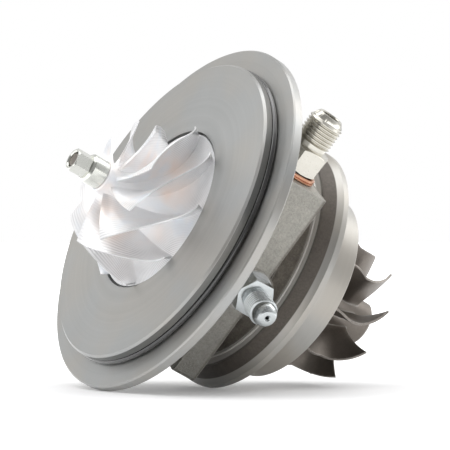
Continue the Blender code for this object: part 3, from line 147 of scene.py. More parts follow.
class Wiring:
    """Short names for building node trees.

    Args:
        tree: the node tree that the nodes go in.
    """

    def __init__(self, tree: bpy.types.NodeTree) -> None:
        self.tree = tree

    def node(self, kind: str, **settings: object) -> bpy.types.Node:
        """Adds a node and sets its properties."""
        made = self.tree.nodes.new(kind)
        for key, value in settings.items():
            setattr(made, key, value)
        made.location = (180.0 * (len(self.tree.nodes) % 12), -220.0 * (len(self.tree.nodes) // 12))
        return made

    def feed(self, socket: Socket, value: Input) -> None:
        """Links a socket to another one, or sets its own value."""
        if isinstance(value, bpy.types.NodeSocket):
            self.tree.links.new(value, socket)
        else:
            socket.default_value = value

    def math(self, operation: str, first: Input, second: Input = 0.0, clamp: bool = False) -> Socket:
        """Adds a Math node and returns its result."""
        made = self.node("ShaderNodeMath", operation=operation, use_clamp=clamp)
        self.feed(made.inputs[0], first)
        self.feed(made.inputs[1], second)
        return made.outputs[0]

    def vector_math(self, operation: str, first: Input,
                    second: Input = (0.0, 0.0, 0.0)) -> bpy.types.Node:
        """Adds a Vector Math node."""
        made = self.node("ShaderNodeVectorMath", operation=operation)
        self.feed(made.inputs[0], first)
        self.feed(made.inputs[1], second)
        return made

    def noise(self, where: Input, scale: float, detail: float = 2.0, roughness: float = 0.5,
              dimensions: str = "3D") -> Socket:
        """Adds a Noise texture and returns its value.

        Args:
            where: the place to read, a vector, or a single number when dimensions is 1D.
            scale: how many features stand in one unit of length.
            detail: how many finer layers are added.
            roughness: how strong the finer layers are.
            dimensions: 1D or 3D.
        """
        made = self.node("ShaderNodeTexNoise", noise_dimensions=dimensions)
        self.feed(made.inputs["W" if dimensions == "1D" else "Vector"], where)
        made.inputs["Scale"].default_value = scale
        made.inputs["Detail"].default_value = detail
        made.inputs["Roughness"].default_value = roughness
        return made.outputs["Fac"]

    def remap(self, value: Input, low: float, high: float, to_low: float = 0.0,
              to_high: float = 1.0) -> Socket:
        """Stretches a value from one range onto another, without going past it."""
        made = self.node("ShaderNodeMapRange", clamp=True)
        self.feed(made.inputs["Value"], value)
        for key, number in (("From Min", low), ("From Max", high), ("To Min", to_low),
                            ("To Max", to_high)):
            made.inputs[key].default_value = number
        return made.outputs["Result"]

    def radius(self, parts: bpy.types.Node) -> Socket:
        """Returns the distance from the rotor's axis of a place that is split in three."""
        flat = self.node("ShaderNodeCombineXYZ")
        self.feed(flat.inputs[0], parts.outputs[0])
        self.feed(flat.inputs[1], parts.outputs[1])
        return self.vector_math("LENGTH", flat.outputs[0]).outputs["Value"]

    def mix(self, amount: Input, first: Input, second: Input, blend: str = "MIX") -> Socket:
        """Mixes two colours."""
        made = self.node("ShaderNodeMix", data_type="RGBA", blend_type=blend)
        self.feed(made.inputs[0], amount)
        self.feed(made.inputs[6], colour(first))
        self.feed(made.inputs[7], colour(second))
        return made.outputs[2]

    def group(self, tree: bpy.types.NodeTree, **values: Input) -> bpy.types.Node:
        """Places a shader node group and feeds its inputs by name."""
        made = self.node("ShaderNodeGroup", node_tree=tree)
        for key, value in values.items():
            self.feed(made.inputs[key], value)
        return made


def colour(value: Input) -> Input:
    """Adds the alpha that a colour socket needs to a plain red, green and blue."""
    if isinstance(value, bpy.types.NodeSocket) or not isinstance(value, (tuple, list)):
        return value
    return (*value, 1.0) if len(value) == 3 else value


@dataclass(frozen=True)
class Effect:
    """A shader node group that more than one material uses, built once.

    Args:
        name: the group's name.
        inputs: socket names with their types and, for numbers, their defaults.
        outputs: names of the masks and heights that it puts out.
        build: fills the group, given its wiring, its inputs and its output node.
    """

    name: str
    inputs: dict[str, tuple[str, float]]
    outputs: tuple[str, ...]
    build: Callable[[Wiring, dict[str, Socket]], dict[str, Socket]]

    def tree(self) -> bpy.types.NodeTree:
        """Returns the group, making it on its first use."""
        if self.name in bpy.data.node_groups:
            return bpy.data.node_groups[self.name]
        tree = bpy.data.node_groups.new(self.name, "ShaderNodeTree")
        for key, (kind, default) in self.inputs.items():
            socket = tree.interface.new_socket(key, in_out="INPUT", socket_type=kind)
            if kind == "NodeSocketFloat":
                socket.default_value = default
        for key in self.outputs:
            tree.interface.new_socket(key, in_out="OUTPUT", socket_type="NodeSocketFloat")
        wiring = Wiring(tree)
        entry = wiring.node("NodeGroupInput")
        leave = wiring.node("NodeGroupOutput")
        made = self.build(wiring, {key: entry.outputs[key] for key in self.inputs})
        for key in self.outputs:
            tree.links.new(made[key], leave.inputs[key])
        return tree


def build_turned_marks(w: Wiring, given: dict[str, Socket]) -> dict[str, Socket]:
    """Fine rings that a lathe tool leaves, with a few deeper ones and a soft waviness."""
    parts = w.node("ShaderNodeSeparateXYZ")
    w.feed(parts.inputs[0], given["Place"])
    squares = w.math("ADD", w.math("MULTIPLY", parts.outputs[0], parts.outputs[0]),
                     w.math("MULTIPLY", parts.outputs[1], parts.outputs[1]))
    radius = w.math("SQRT", squares)
    path = w.math("ADD", radius, w.math("MULTIPLY", parts.outputs[2], 0.83))
    fine = w.noise(w.math("MULTIPLY", path, given["Lines"]), 1.0, 2.0, 0.6, "1D")
    broad = w.noise(w.math("MULTIPLY", path, given["Lines"]), 0.11, 3.0, 0.7, "1D")
    drift = w.noise(given["Place"], 0.045, 2.0, 0.5)
    height = w.math("ADD", w.math("MULTIPLY", fine, 0.6), w.math("MULTIPLY", broad, 0.4))
    tone = w.math("ADD", w.math("MULTIPLY", broad, 0.65), w.math("MULTIPLY", drift, 0.35))
    return {"Height": height, "Tone": tone}


def build_cast_skin(w: Wiring, given: dict[str, Socket]) -> dict[str, Socket]:
    """The grainy skin of a sand casting, with small pits."""
    grain = w.remap(w.noise(given["Place"], 1.25, 4.0, 0.7), 0.30, 0.70)
    lumps = w.noise(given["Place"], 0.35, 3.0, 0.5)
    pits = w.node("ShaderNodeTexVoronoi", feature="F1")
    w.feed(pits.inputs["Vector"], given["Place"])
    pits.inputs["Scale"].default_value = 1.5
    pit = w.remap(pits.outputs["Distance"], 0.10, 0.42)
    height = w.math("ADD", w.math("MULTIPLY", grain, 0.65), w.math("MULTIPLY", lumps, 0.35))
    height = w.math("MULTIPLY", height, w.math("ADD", w.math("MULTIPLY", pit, 0.35), 0.65))
    tone = w.math("ADD", w.math("MULTIPLY", grain, 0.5), w.math("MULTIPLY", lumps, 0.5))
    return {"Height": height, "Tone": tone}


def build_edge_wear_and_highlight(w: Wiring, given: dict[str, Socket]) -> dict[str, Socket]:
    """A mask of the sharp edges, broken up as handling breaks them: wear, and partly a painted
    highlight.
    """
    rounded = w.node("ShaderNodeBevel", samples=6)
    w.feed(rounded.inputs["Radius"], given["Reach"])
    plain = w.node("ShaderNodeNewGeometry")
    agree = w.vector_math("DOT_PRODUCT", rounded.outputs[0], plain.outputs["Normal"])
    edge = w.remap(agree.outputs["Value"], 0.998, 0.90)
    broken = w.remap(w.noise(given["Place"], 0.9, 4.0, 0.7), 0.30, 0.62)
    return {"Mask": w.math("MULTIPLY", edge, w.math("ADD", w.math("MULTIPLY", broken, 0.6), 0.4))}


def build_smudges(w: Wiring, given: dict[str, Socket]) -> dict[str, Socket]:
    """Soft clouds where oil and handling have changed the gloss."""
    wide = w.noise(given["Place"], 0.06, 3.0, 0.6)
    small = w.noise(given["Place"], 0.5, 4.0, 0.65)
    mixed = w.math("ADD", w.math("MULTIPLY", wide, 0.7), w.math("MULTIPLY", small, 0.3))
    return {"Mask": w.remap(mixed, 0.36, 0.64)}


def build_tool_paths(w: Wiring, given: dict[str, Socket]) -> dict[str, Socket]:
    """Parallel ridges that a ball cutter leaves along a blade.

    The place is a blade's own map: along the blade in X and across it in Y, in millimetres.
    """
    parts = w.node("ShaderNodeSeparateXYZ")
    w.feed(parts.inputs[0], given["Place"])
    sway = w.noise(parts.outputs[0], 0.10, 1.0, 0.5, "1D")
    across = w.math("ADD", parts.outputs[1], w.math("MULTIPLY", sway, 0.35))
    turn = w.math("MULTIPLY", across, w.math("MULTIPLY", given["Lines"], math.tau))
    wave = w.math("ADD", w.math("MULTIPLY", w.math("SINE", turn), 0.5), 0.5)
    uneven = w.noise(w.math("MULTIPLY", across, given["Lines"]), 0.5, 2.0, 0.5, "1D")
    return {"Height": wave, "Tone": uneven}


PLACE_ONLY = {"Place": ("NodeSocketVector", 0.0)}
TURNED_MARKS = Effect("turned_marks", {**PLACE_ONLY, "Lines": ("NodeSocketFloat", 4.0)},
                      ("Height", "Tone"), build_turned_marks)
CAST_SKIN = Effect("cast_skin", PLACE_ONLY, ("Height", "Tone"), build_cast_skin)
EDGE_WEAR_AND_HIGHLIGHT = Effect("edge_wear_and_highlight", {**PLACE_ONLY, "Reach": ("NodeSocketFloat", 0.0004)}, ("Mask",),
                   build_edge_wear_and_highlight)
SMUDGES = Effect("smudges", PLACE_ONLY, ("Mask",), build_smudges)
TOOL_PATHS = Effect("tool_paths", {**PLACE_ONLY, "Lines": ("NodeSocketFloat", 2.5)},
                    ("Height", "Tone"), build_tool_paths)


@dataclass(frozen=True)
class Finish:
    """What every finish shares: a name, a colour and the plain numbers of its gloss."""

    name: str
    base: tuple[float, float, float]
    roughness: float = 0.35
    metallic: float = 1.0

    def start(self, frame: RotorFrame) -> tuple[bpy.types.Material, Wiring, bpy.types.Node, Socket]:
        """Makes the material and the rotor-frame place that its patterns read.

        Returns:
            The material, its wiring, its shader and the place in millimetres.
        """
        made = bpy.data.materials.new(self.name)
        made.use_nodes = True
        made.diffuse_color = (*self.base, 1.0)
        w = Wiring(made.node_tree)
        shader = made.node_tree.nodes["Principled BSDF"]
        shader.inputs["Base Color"].default_value = (*self.base, 1.0)
        shader.inputs["Roughness"].default_value = self.roughness
        shader.inputs["Metallic"].default_value = self.metallic
        where = w.node("ShaderNodeTexCoord").outputs["Object"]
        mapping = w.node("ShaderNodeMapping", vector_type="TEXTURE")
        w.feed(mapping.inputs["Vector"], where)
        mapping.inputs["Location"].default_value = frame.origin
        mapping.inputs["Rotation"].default_value = frame.turn.to_euler("XYZ")
        mapping.inputs["Scale"].default_value = (MM, MM, MM)
        return made, w, shader, mapping.outputs[0]

    def bump(self, w: Wiring, shader: bpy.types.Node, height: Socket, depth: float,
             strength: float = 1.0) -> None:
        """Feeds a height to the shader's normal; depth is in millimetres."""
        made = w.node("ShaderNodeBump")
        made.inputs["Distance"].default_value = depth * MM
        made.inputs["Strength"].default_value = strength
        w.feed(made.inputs["Height"], height)
        w.feed(shader.inputs["Normal"], made.outputs[0])

    def material(self, frame: RotorFrame) -> bpy.types.Material:
        """Makes the material. Each kind of finish has its own."""
        raise NotImplementedError


@dataclass(frozen=True)
class TurnedMetal(Finish):
    """Satin metal off a lathe: fine rings, a stretched highlight and lighter edges, which are partly
    a painted highlight.

    Args:
        lines: rings in one millimetre.
        depth: height of the rings, in millimetres.
        stretch: how far the highlight is drawn out across the rings.
        edge: colour of the worn edges, partly a painted highlight along them.
        dark: darkest tone of the rings, as a share of the base colour.
        band_shade: colour of the band of painted shade between two stations.
        band_shade_top: station where the band starts, in millimetres; 1001 leaves it out.
        band_shade_end: station where the band ends.
        band_shade_radius: inner radius of the band on the face.
        pale_radius: inner radius of the pale ring inside the band.
        pale: colour of the pale ring.
        low_shade: tone of the painted shade on the side that lies lowest, as a share.
        shade_from: place across the rotor where that shade starts, in millimetres.
        shade_to: place across the rotor where that shade is full.
        wall_radius: radius of the pilot's wall; 1000 leaves its shade out.
        wall_end: station where the wall's shade ends.
        wall_shade: tone of the painted shade on the wall, as a share.
        warm: one end of the slow drift in tint.
        cool: the other end of the drift.
    """

    lines: float = 3.0
    depth: float = 0.006
    stretch: float = 0.7
    edge: tuple[float, float, float] = (0.80, 0.80, 0.79)
    dark: float = 0.83
    band_shade: tuple[float, float, float] = (0.12, 0.102, 0.085)
    band_shade_top: float = 1001.0
    band_shade_end: float = 1000.0
    band_shade_radius: float = 46.9
    pale_radius: float = 42.6
    pale: tuple[float, float, float] = (0.88, 0.85, 0.80)
    low_shade: float = 1.0
    shade_from: float = -38.0
    shade_to: float = -52.0
    wall_radius: float = 1000.0
    wall_end: float = 5.5
    wall_shade: float = 0.5
    warm: tuple[float, float, float] = (1.02, 0.995, 0.95)
    cool: tuple[float, float, float] = (0.98, 0.995, 0.995)

    def painted_band(self, w: Wiring, place: Socket) -> tuple[Socket, Socket]:
        """Returns the masks of the band of painted shade between two stations and of the pale ring
        inside it.
        """
        parts = w.node("ShaderNodeSeparateXYZ")
        w.feed(parts.inputs[0], place)
        below = w.remap(parts.outputs[2], self.band_shade_top + 0.1, self.band_shade_top - 0.15)
        above = w.remap(parts.outputs[2], self.band_shade_end - 0.1, self.band_shade_end + 0.15)
        radius = w.radius(parts)
        outside = w.remap(radius, self.band_shade_radius, self.band_shade_radius + 0.7)
        inside = w.remap(radius, self.pale_radius, self.pale_radius + 0.3)
        bare = w.math("SUBTRACT", inside, outside)
        face = w.remap(parts.outputs[2], self.band_shade_top - 0.5, self.band_shade_top - 0.3)
        bare = w.math("MULTIPLY", w.math("MULTIPLY", bare, face), self.face_share(w, parts))
        # The band's mask: where shade is painted on the flange's cone.
        painted_banded = w.math("MULTIPLY", w.math("MULTIPLY", below, outside),
                        w.math("MULTIPLY", above, 0.94))
        return painted_banded, bare

    def wall(self, w: Wiring, parts: bpy.types.Node) -> Socket:
        """Returns the mask of the pilot's wall, where shade is painted to leave it darker than the
        faces.
        """
        outside = w.remap(w.radius(parts), self.wall_radius - 0.3, self.wall_radius - 0.1)
        above = w.remap(parts.outputs[2], 0.1, 0.3)
        below = w.remap(parts.outputs[2], self.wall_end, self.wall_end - 0.1)
        return w.math("MULTIPLY", w.math("MULTIPLY", outside, above), below)

    def face_share(self, w: Wiring, parts: bpy.types.Node) -> Socket:
        """Returns a mask that ends the pale ring in front of the flange's step."""
        return w.remap(parts.outputs[2], self.band_shade_top + 0.9, self.band_shade_top + 0.7)

    def material(self, frame: RotorFrame) -> bpy.types.Material:
        """Makes the material."""
        made, w, shader, place = self.start(frame)
        marks = w.group(TURNED_MARKS.tree(), Place=place, Lines=self.lines)
        cloud = w.group(SMUDGES.tree(), Place=place).outputs["Mask"]
        worn = w.group(EDGE_WEAR_AND_HIGHLIGHT.tree(), Place=place, Reach=0.00018).outputs["Mask"]
        shade = w.mix(marks.outputs["Tone"], tuple(v * self.dark for v in self.base),
                      tuple(min(v * 1.06, 1.0) for v in self.base))
        drift = w.remap(w.noise(place, 0.035, 2.0, 0.5), 0.38, 0.62)
        shade = w.mix(1.0, shade, w.mix(drift, self.warm, self.cool), "MULTIPLY")
        painted_band, bare = self.painted_band(w, place)
        shade = w.mix(bare, shade, w.mix(marks.outputs["Tone"], tuple(v * 0.8 for v in self.pale),
                                         self.pale))
        # Painted shade on the band, grained like the cast skin.
        skin = w.group(CAST_SKIN.tree(), Place=place).outputs["Tone"]
        band_shade_colour = w.mix(skin, tuple(v * 0.55 for v in self.band_shade), tuple(v * 1.45 for v in self.band_shade))
        shade = w.mix(painted_band, shade, band_shade_colour)
        # Lighter worn edges, partly a painted highlight along them.
        shade = w.mix(w.math("MULTIPLY", worn, 0.45), shade, self.edge)
        # Painted shade on the side that lies lowest.
        low = w.node("ShaderNodeSeparateXYZ")
        w.feed(low.inputs[0], place)
        lowest = w.remap(low.outputs[0], self.shade_from, self.shade_to)
        shade = w.mix(lowest, shade, (self.low_shade,) * 3, "MULTIPLY")
        # Painted shade on the pilot's wall.
        shade = w.mix(self.wall(w, low), shade, (self.wall_shade,) * 3, "MULTIPLY")
        w.feed(shader.inputs["Base Color"], shade)
        clean = w.math("SUBTRACT", 1.0, w.math("MULTIPLY", painted_band, 0.6))
        clean = w.math("SUBTRACT", clean, w.math("MULTIPLY", bare, 0.7))
        w.feed(shader.inputs["Metallic"], w.math("MULTIPLY", clean, self.metallic))
        gloss = w.math("ADD", w.math("MULTIPLY", marks.outputs["Tone"], 0.10),
                       w.math("MULTIPLY", cloud, 0.06))
        gloss = w.math("ADD", gloss, w.math("MULTIPLY", painted_band, 0.22))
        w.feed(shader.inputs["Roughness"], w.math("ADD", gloss, self.roughness - 0.08))
        shader.inputs["Anisotropic"].default_value = self.stretch
        shader.inputs["Anisotropic Rotation"].default_value = 0.25
        around = w.vector_math("CROSS_PRODUCT", tuple(frame.along),
                               self.from_axis(w, frame)).outputs[0]
        w.feed(shader.inputs["Tangent"], w.vector_math("NORMALIZE", around).outputs[0])
        self.bump(w, shader, marks.outputs["Height"], self.depth)
        return made

    def from_axis(self, w: Wiring, frame: RotorFrame) -> Socket:
        """Returns the vector from the rotor frame's origin to the shaded point."""
        where = w.node("ShaderNodeTexCoord").outputs["Object"]
        return w.vector_math("SUBTRACT", where, tuple(frame.origin)).outputs[0]


@dataclass(frozen=True)
class MilledMetal(Finish):
    """Bright metal off a milling cutter, with its parallel paths along the blades.

    Args:
        lines: cutter paths in one millimetre of the blade's map.
        depth: height of the ridges between the paths, in millimetres.
        groove: how dark the bottom of a path is, as a share of the base colour.
        faint: how clear the paths are at faint_radius and inside it, as a share.
        faint_radius: where the paths start to grow clearer, in millimetres.
        full_radius: where the paths are at their clearest and the warm glow starts.
        glow_radius: where the warm glow between the blades is full.
        warm: colour of the painted warm glow between the blades.
        cool: colour of the patches that face away from it.
    """

    lines: float = 1.15
    depth: float = 0.02
    groove: float = 0.70
    faint: float = 0.25
    faint_radius: float = 18.0
    full_radius: float = 27.0
    glow_radius: float = 16.0
    warm: tuple[float, float, float] = (0.98, 0.80, 0.70)
    cool: tuple[float, float, float] = (0.86, 0.91, 0.97)

    def material(self, frame: RotorFrame) -> bpy.types.Material:
        """Makes the material."""
        made, w, shader, place = self.start(frame)
        chart = w.node("ShaderNodeUVMap", uv_map="blade_map").outputs[0]
        paths = w.group(TOOL_PATHS.tree(), Place=chart, Lines=self.lines)
        cloud = w.group(SMUDGES.tree(), Place=place).outputs["Mask"]
        worn = w.remap(w.noise(place, 0.07, 2.0, 0.5), 0.40, 0.60, 0.4, 1.0)
        parts = w.node("ShaderNodeSeparateXYZ")
        w.feed(parts.inputs[0], place)
        radius = w.radius(parts)
        worn = w.math("MULTIPLY", worn, w.remap(radius, self.faint_radius, self.full_radius,
                                                self.faint, 1.0))
        groove = w.math("MULTIPLY", w.math("SUBTRACT", 1.0, paths.outputs["Height"]), worn)
        shade = w.mix(groove, self.base, tuple(v * self.groove for v in self.base))
        # Painted warm glow in the channels between the blades.
        glow = w.math("MULTIPLY", w.remap(w.noise(place, 0.055, 2.0, 0.5), 0.45, 0.62),
                      w.remap(radius, self.full_radius, self.glow_radius))
        chill = w.remap(w.noise(place, 0.08, 2.0, 0.5), 0.34, 0.46, 1.0, 0.0)
        shade = w.mix(w.math("MULTIPLY", glow, 0.55), shade, self.warm)
        shade = w.mix(w.math("MULTIPLY", chill, 0.5), shade, self.cool)
        w.feed(shader.inputs["Base Color"], shade)
        w.feed(shader.inputs["Roughness"],
               w.math("ADD", w.math("MULTIPLY", cloud, 0.08), self.roughness - 0.04))
        self.bump(w, shader, paths.outputs["Height"], self.depth)
        return made


@dataclass(frozen=True)
class CastMetal(Finish):
    """A casting's grainy skin, lighter where it has been machined or worn, with a painted highlight
    on its edges and painted shade on its lowest side.

    Args:
        depth: height of the grain, in millimetres.
        wear_and_highlight: colour of the worn edges, partly a painted highlight along them.
        lighter: lightest tone of the grain, as a share of the base colour.
        darker: darkest tone of the grain.
        neck: colour of the darker skin behind neck_front.
        neck_front: station where that skin starts, in millimetres; -1000 leaves it out.
        low_shade: tone of the painted shade on the side that lies lowest, as a share.
        shade_to: place across the rotor where that shade is full, in millimetres.
        shade_from: place across the rotor where that shade starts.
    """

    depth: float = 0.28
    wear_and_highlight: tuple[float, float, float] = (0.55, 0.53, 0.50)
    lighter: float = 1.22
    darker: float = 0.58
    neck: tuple[float, float, float] = (0.0, 0.0, 0.0)
    neck_front: float = -1000.0
    low_shade: float = 1.0
    shade_to: float = -40.0
    shade_from: float = -8.0

    def material(self, frame: RotorFrame) -> bpy.types.Material:
        """Makes the material."""
        made, w, shader, place = self.start(frame)
        skin = w.group(CAST_SKIN.tree(), Place=place)
        worn = w.group(EDGE_WEAR_AND_HIGHLIGHT.tree(), Place=place, Reach=0.0009).outputs["Mask"]
        cloud = w.group(SMUDGES.tree(), Place=place).outputs["Mask"]
        shade = w.mix(skin.outputs["Tone"], tuple(v * self.darker for v in self.base),
                      tuple(min(v * self.lighter, 1.0) for v in self.base))
        parts = w.node("ShaderNodeSeparateXYZ")
        w.feed(parts.inputs[0], place)
        behind = w.remap(parts.outputs[2], self.neck_front + 0.8, self.neck_front - 0.4)
        rough = w.mix(skin.outputs["Tone"], tuple(v * 0.4 for v in self.neck),
                      tuple(v * 1.5 for v in self.neck))
        shade = w.mix(behind, shade, rough)
        # Painted shade on the side that lies lowest.
        low = w.remap(parts.outputs[0], self.shade_to, self.shade_from, 1.0, 0.0)
        shade = w.mix(low, shade, (self.low_shade,) * 3, "MULTIPLY")
        # Lighter worn edges, partly a painted highlight along them.
        shade = w.mix(w.math("MULTIPLY", worn, 0.55), shade, self.wear_and_highlight)
        w.feed(shader.inputs["Base Color"], shade)
        sheen = w.math("SUBTRACT", 1.0, w.math("MULTIPLY", behind, 0.7))
        w.feed(shader.inputs["Metallic"], w.math("MULTIPLY", sheen, self.metallic))
        gloss = w.math("ADD", w.math("MULTIPLY", cloud, 0.12), w.math("MULTIPLY", behind, 0.15))
        w.feed(shader.inputs["Roughness"], w.math("ADD", gloss, self.roughness - 0.05))
        self.bump(w, shader, skin.outputs["Height"], self.depth)
        return made


@dataclass(frozen=True)
class PlatedMetal(Finish):
    """Bright plating with a faint tint that shifts over the surface."""

    tint: tuple[float, float, float] = (0.86, 0.90, 0.80)

    def material(self, frame: RotorFrame) -> bpy.types.Material:
        """Makes the material."""
        made, w, shader, place = self.start(frame)
        cloud = w.group(SMUDGES.tree(), Place=place).outputs["Mask"]
        fine = w.noise(place, 1.6, 3.0, 0.6)
        w.feed(shader.inputs["Base Color"], w.mix(cloud, self.base, self.tint))
        w.feed(shader.inputs["Roughness"],
               w.math("ADD", w.math("MULTIPLY", fine, 0.10), self.roughness - 0.05))
        self.bump(w, shader, w.noise(place, 3.0, 3.0, 0.6), 0.003)
        return made


@dataclass(frozen=True)
class Rubber(Finish):
    """Oiled rubber with a faint mould line grain."""

    oil: float = 0.0

    def material(self, frame: RotorFrame) -> bpy.types.Material:
        """Makes the material."""
        made, w, shader, place = self.start(frame)
        cloud = w.group(SMUDGES.tree(), Place=place).outputs["Mask"]
        w.feed(shader.inputs["Base Color"], w.mix(cloud, self.base, (0.032, 0.031, 0.030)))
        w.feed(shader.inputs["Roughness"],
               w.math("ADD", w.math("MULTIPLY", cloud, 0.14), self.roughness - 0.07))
        shader.inputs["Specular IOR Level"].default_value = 0.6
        shader.inputs["Coat Weight"].default_value = self.oil
        shader.inputs["Coat Roughness"].default_value = 0.12
        self.bump(w, shader, w.noise(place, 5.0, 3.0, 0.6), 0.004)
        return made


# BACKPLATE_STEEL paints shade on the pilot's wall; FLANGE_STEEL paints shade on a band of its cone
# and on its lowest side.
BACKPLATE_STEEL = TurnedMetal("backplate_steel", (0.46, 0.46, 0.455), 0.36, 0.92,
                              wall_radius=64.2)
FLANGE_STEEL = TurnedMetal("turbine_flange_steel", (0.52, 0.505, 0.48), 0.42, 0.75, lines=2.2,
                           band_shade_top=-36.8, band_shade_end=-41.8, low_shade=0.45)
WHEEL_ALUMINIUM = MilledMetal("wheel_aluminium", (0.98, 0.98, 0.985), 0.34, metallic=0.5)
# HOUSING_IRON paints shade on its lowest side.
HOUSING_IRON = CastMetal("housing_iron", (0.48, 0.465, 0.42), 0.52, metallic=0.6,
                         neck=(0.17, 0.15, 0.122), neck_front=-27.0, low_shade=0.7)
WHEEL_NICKEL = CastMetal("wheel_nickel", (0.235, 0.21, 0.185), 0.42, metallic=0.9, depth=0.02,
                         wear_and_highlight=(0.62, 0.60, 0.57), lighter=1.08, darker=0.8)
SPOT_FACE = PlatedMetal("spot_face", (0.44, 0.44, 0.44), 0.30, tint=(0.30, 0.295, 0.28))
BRIGHT_ZINC = PlatedMetal("bright_zinc", (0.60, 0.63, 0.64), 0.26, tint=(0.52, 0.55, 0.55))
PALE_ZINC = PlatedMetal("pale_zinc", (0.68, 0.66, 0.60), 0.26, tint=(0.60, 0.58, 0.52))
NUT_ZINC = PlatedMetal("nut_zinc", (0.76, 0.765, 0.73), 0.20, tint=(0.66, 0.67, 0.62))
WASHER_COPPER = PlatedMetal("washer_copper", (0.74, 0.42, 0.28), 0.32, tint=(0.62, 0.33, 0.21))
SEAL_RUBBER = Rubber("seal_rubber", (0.012, 0.012, 0.012), 0.22, metallic=0.0, oil=1.0)
GROUND_STEEL = PlatedMetal("ground_steel", (0.72, 0.72, 0.73), 0.16, tint=(0.68, 0.69, 0.70))
CAGE_POLYMER = Rubber("cage_polymer", (0.40, 0.27, 0.14), 0.45, metallic=0.0)
SHIELD_SHEET = TurnedMetal("shield_sheet", (0.50, 0.48, 0.45), 0.42, lines=1.2)


def turned(profile: Profile, steps: int, closed: bool = True) -> bmesh.types.BMesh:
    """Spins a profile of (radius, height) pairs once round local Z."""
    shape = bmesh.new()
    corners = [shape.verts.new((radius, 0.0, height)) for radius, height in profile]
    edges = [shape.edges.new(pair) for pair in zip(corners, corners[1:])]
    if closed and profile[0][0] > 0.0:
        edges.append(shape.edges.new((corners[-1], corners[0])))
    bmesh.ops.spin(shape, geom=corners + edges, cent=(0.0, 0.0, 0.0), axis=(0.0, 0.0, 1.0),
                   dvec=(0.0, 0.0, 0.0), angle=math.tau, steps=steps, use_merge=True)
    bmesh.ops.remove_doubles(shape, verts=shape.verts, dist=0.0001)
    bmesh.ops.recalc_face_normals(shape, faces=shape.faces)
    return shape


def extruded(outline: Sequence[tuple[float, float]], low: float, high: float) -> bmesh.types.BMesh:
    """Raises a flat outline between two heights."""
    shape = bmesh.new()
    face = shape.faces.new([shape.verts.new((x, y, low)) for x, y in outline])
    grown = bmesh.ops.extrude_face_region(shape, geom=[face])
    raised = [item for item in grown["geom"] if isinstance(item, bmesh.types.BMVert)]
    bmesh.ops.translate(shape, verts=raised, vec=(0.0, 0.0, high - low))
    bmesh.ops.recalc_face_normals(shape, faces=shape.faces)
    return shape


def hexagon(across_flats: float) -> list[tuple[float, float]]:
    """Returns a hexagon's corners, with flats facing +Y and -Y."""
    reach = across_flats / math.sqrt(3.0)
    return [(reach * math.cos(math.radians(60 * i)), reach * math.sin(math.radians(60 * i)))
            for i in range(6)]


def joined(*shapes: bmesh.types.BMesh) -> bmesh.types.BMesh:
    """Puts several shapes into one and frees them."""
    whole = bmesh.new()
    whole.loops.layers.uv.new("blade_map")
    for shape in shapes:
        mesh = bpy.data.meshes.new("joining")
        shape.to_mesh(mesh)
        shape.free()
        whole.from_mesh(mesh)
        bpy.data.meshes.remove(mesh)
    return whole


def as_object(name: str, shape: bmesh.types.BMesh, matrix: Matrix) -> bpy.types.Object:
    """Carries a shape into the row frame and makes an object of it."""
    bmesh.ops.transform(shape, matrix=matrix, verts=shape.verts)
    mesh = bpy.data.meshes.new(name)
    shape.to_mesh(mesh)
    shape.free()
    made = bpy.data.objects.new(name, mesh)
    bpy.context.scene.collection.objects.link(made)
    return made


def apply_modifiers(item: bpy.types.Object) -> None:
    """Turns an object's modified shape into its mesh."""
    graph = bpy.context.evaluated_depsgraph_get()
    mesh = bpy.data.meshes.new_from_object(item.evaluated_get(graph))
    item.modifiers.clear()
    item.data = mesh


def combine(item: bpy.types.Object, tool: bpy.types.Object, operation: str) -> None:
    """Cuts or unites an object with another one, which is then removed."""
    step = item.modifiers.new(operation.lower(), "BOOLEAN")
    step.operation = operation
    step.object = tool
    step.solver = "EXACT"
    apply_modifiers(item)
    bpy.data.objects.remove(tool)


def soften(item: bpy.types.Object, width: float, segments: int = 2, angle: float = 30.0) -> None:
    """Rounds an object's sharp edges; width is in millimetres."""
    step = item.modifiers.new("edges", "BEVEL")
    step.width = width * MM
    step.segments = segments
    step.limit_method = "ANGLE"
    step.angle_limit = math.radians(angle)
    step.harden_normals = False
    step.use_clamp_overlap = True


def finish_piece(item: bpy.types.Object, finish: Finish, slot: Slot, body: str, frame: RotorFrame,
                 sharp: float = 40.0) -> bpy.types.Object:
    """Gives a piece its material, its shading and its body."""
    item.data.materials.clear()
    item.data.materials.append(material_of(finish, frame))
    item.data.shade_smooth()
    item.data.set_sharp_from_angle(angle=math.radians(sharp))
    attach(item, body)
    LOG.info("built %s: %d faces", item.name, len(item.data.polygons))
    return item


def material_of(finish: Finish, frame: RotorFrame) -> bpy.types.Material:
    """Returns a finish's material, making it on its first use."""
    return bpy.data.materials.get(finish.name) or finish.material(frame)


def threaded(start: float, end: float, crest: float, depth: float, pitch: float) -> Profile:
    """Lists the outline of a thread, downwards.

    Args:
        start: the upper end.
        end: the lower end.
        crest: radius over the crests.
        depth: how deep the grooves are.
        pitch: distance from one crest to the next.
    """
    points = []
    turns = int((start - end) / pitch)
    for index in range(turns):
        top = start - index * pitch
        points += [(crest, top), (crest, top - 0.22 * pitch), (crest - depth, top - 0.55 * pitch),
                   (crest - depth, top - 0.68 * pitch)]
    points.append((crest, start - turns * pitch))
    return points


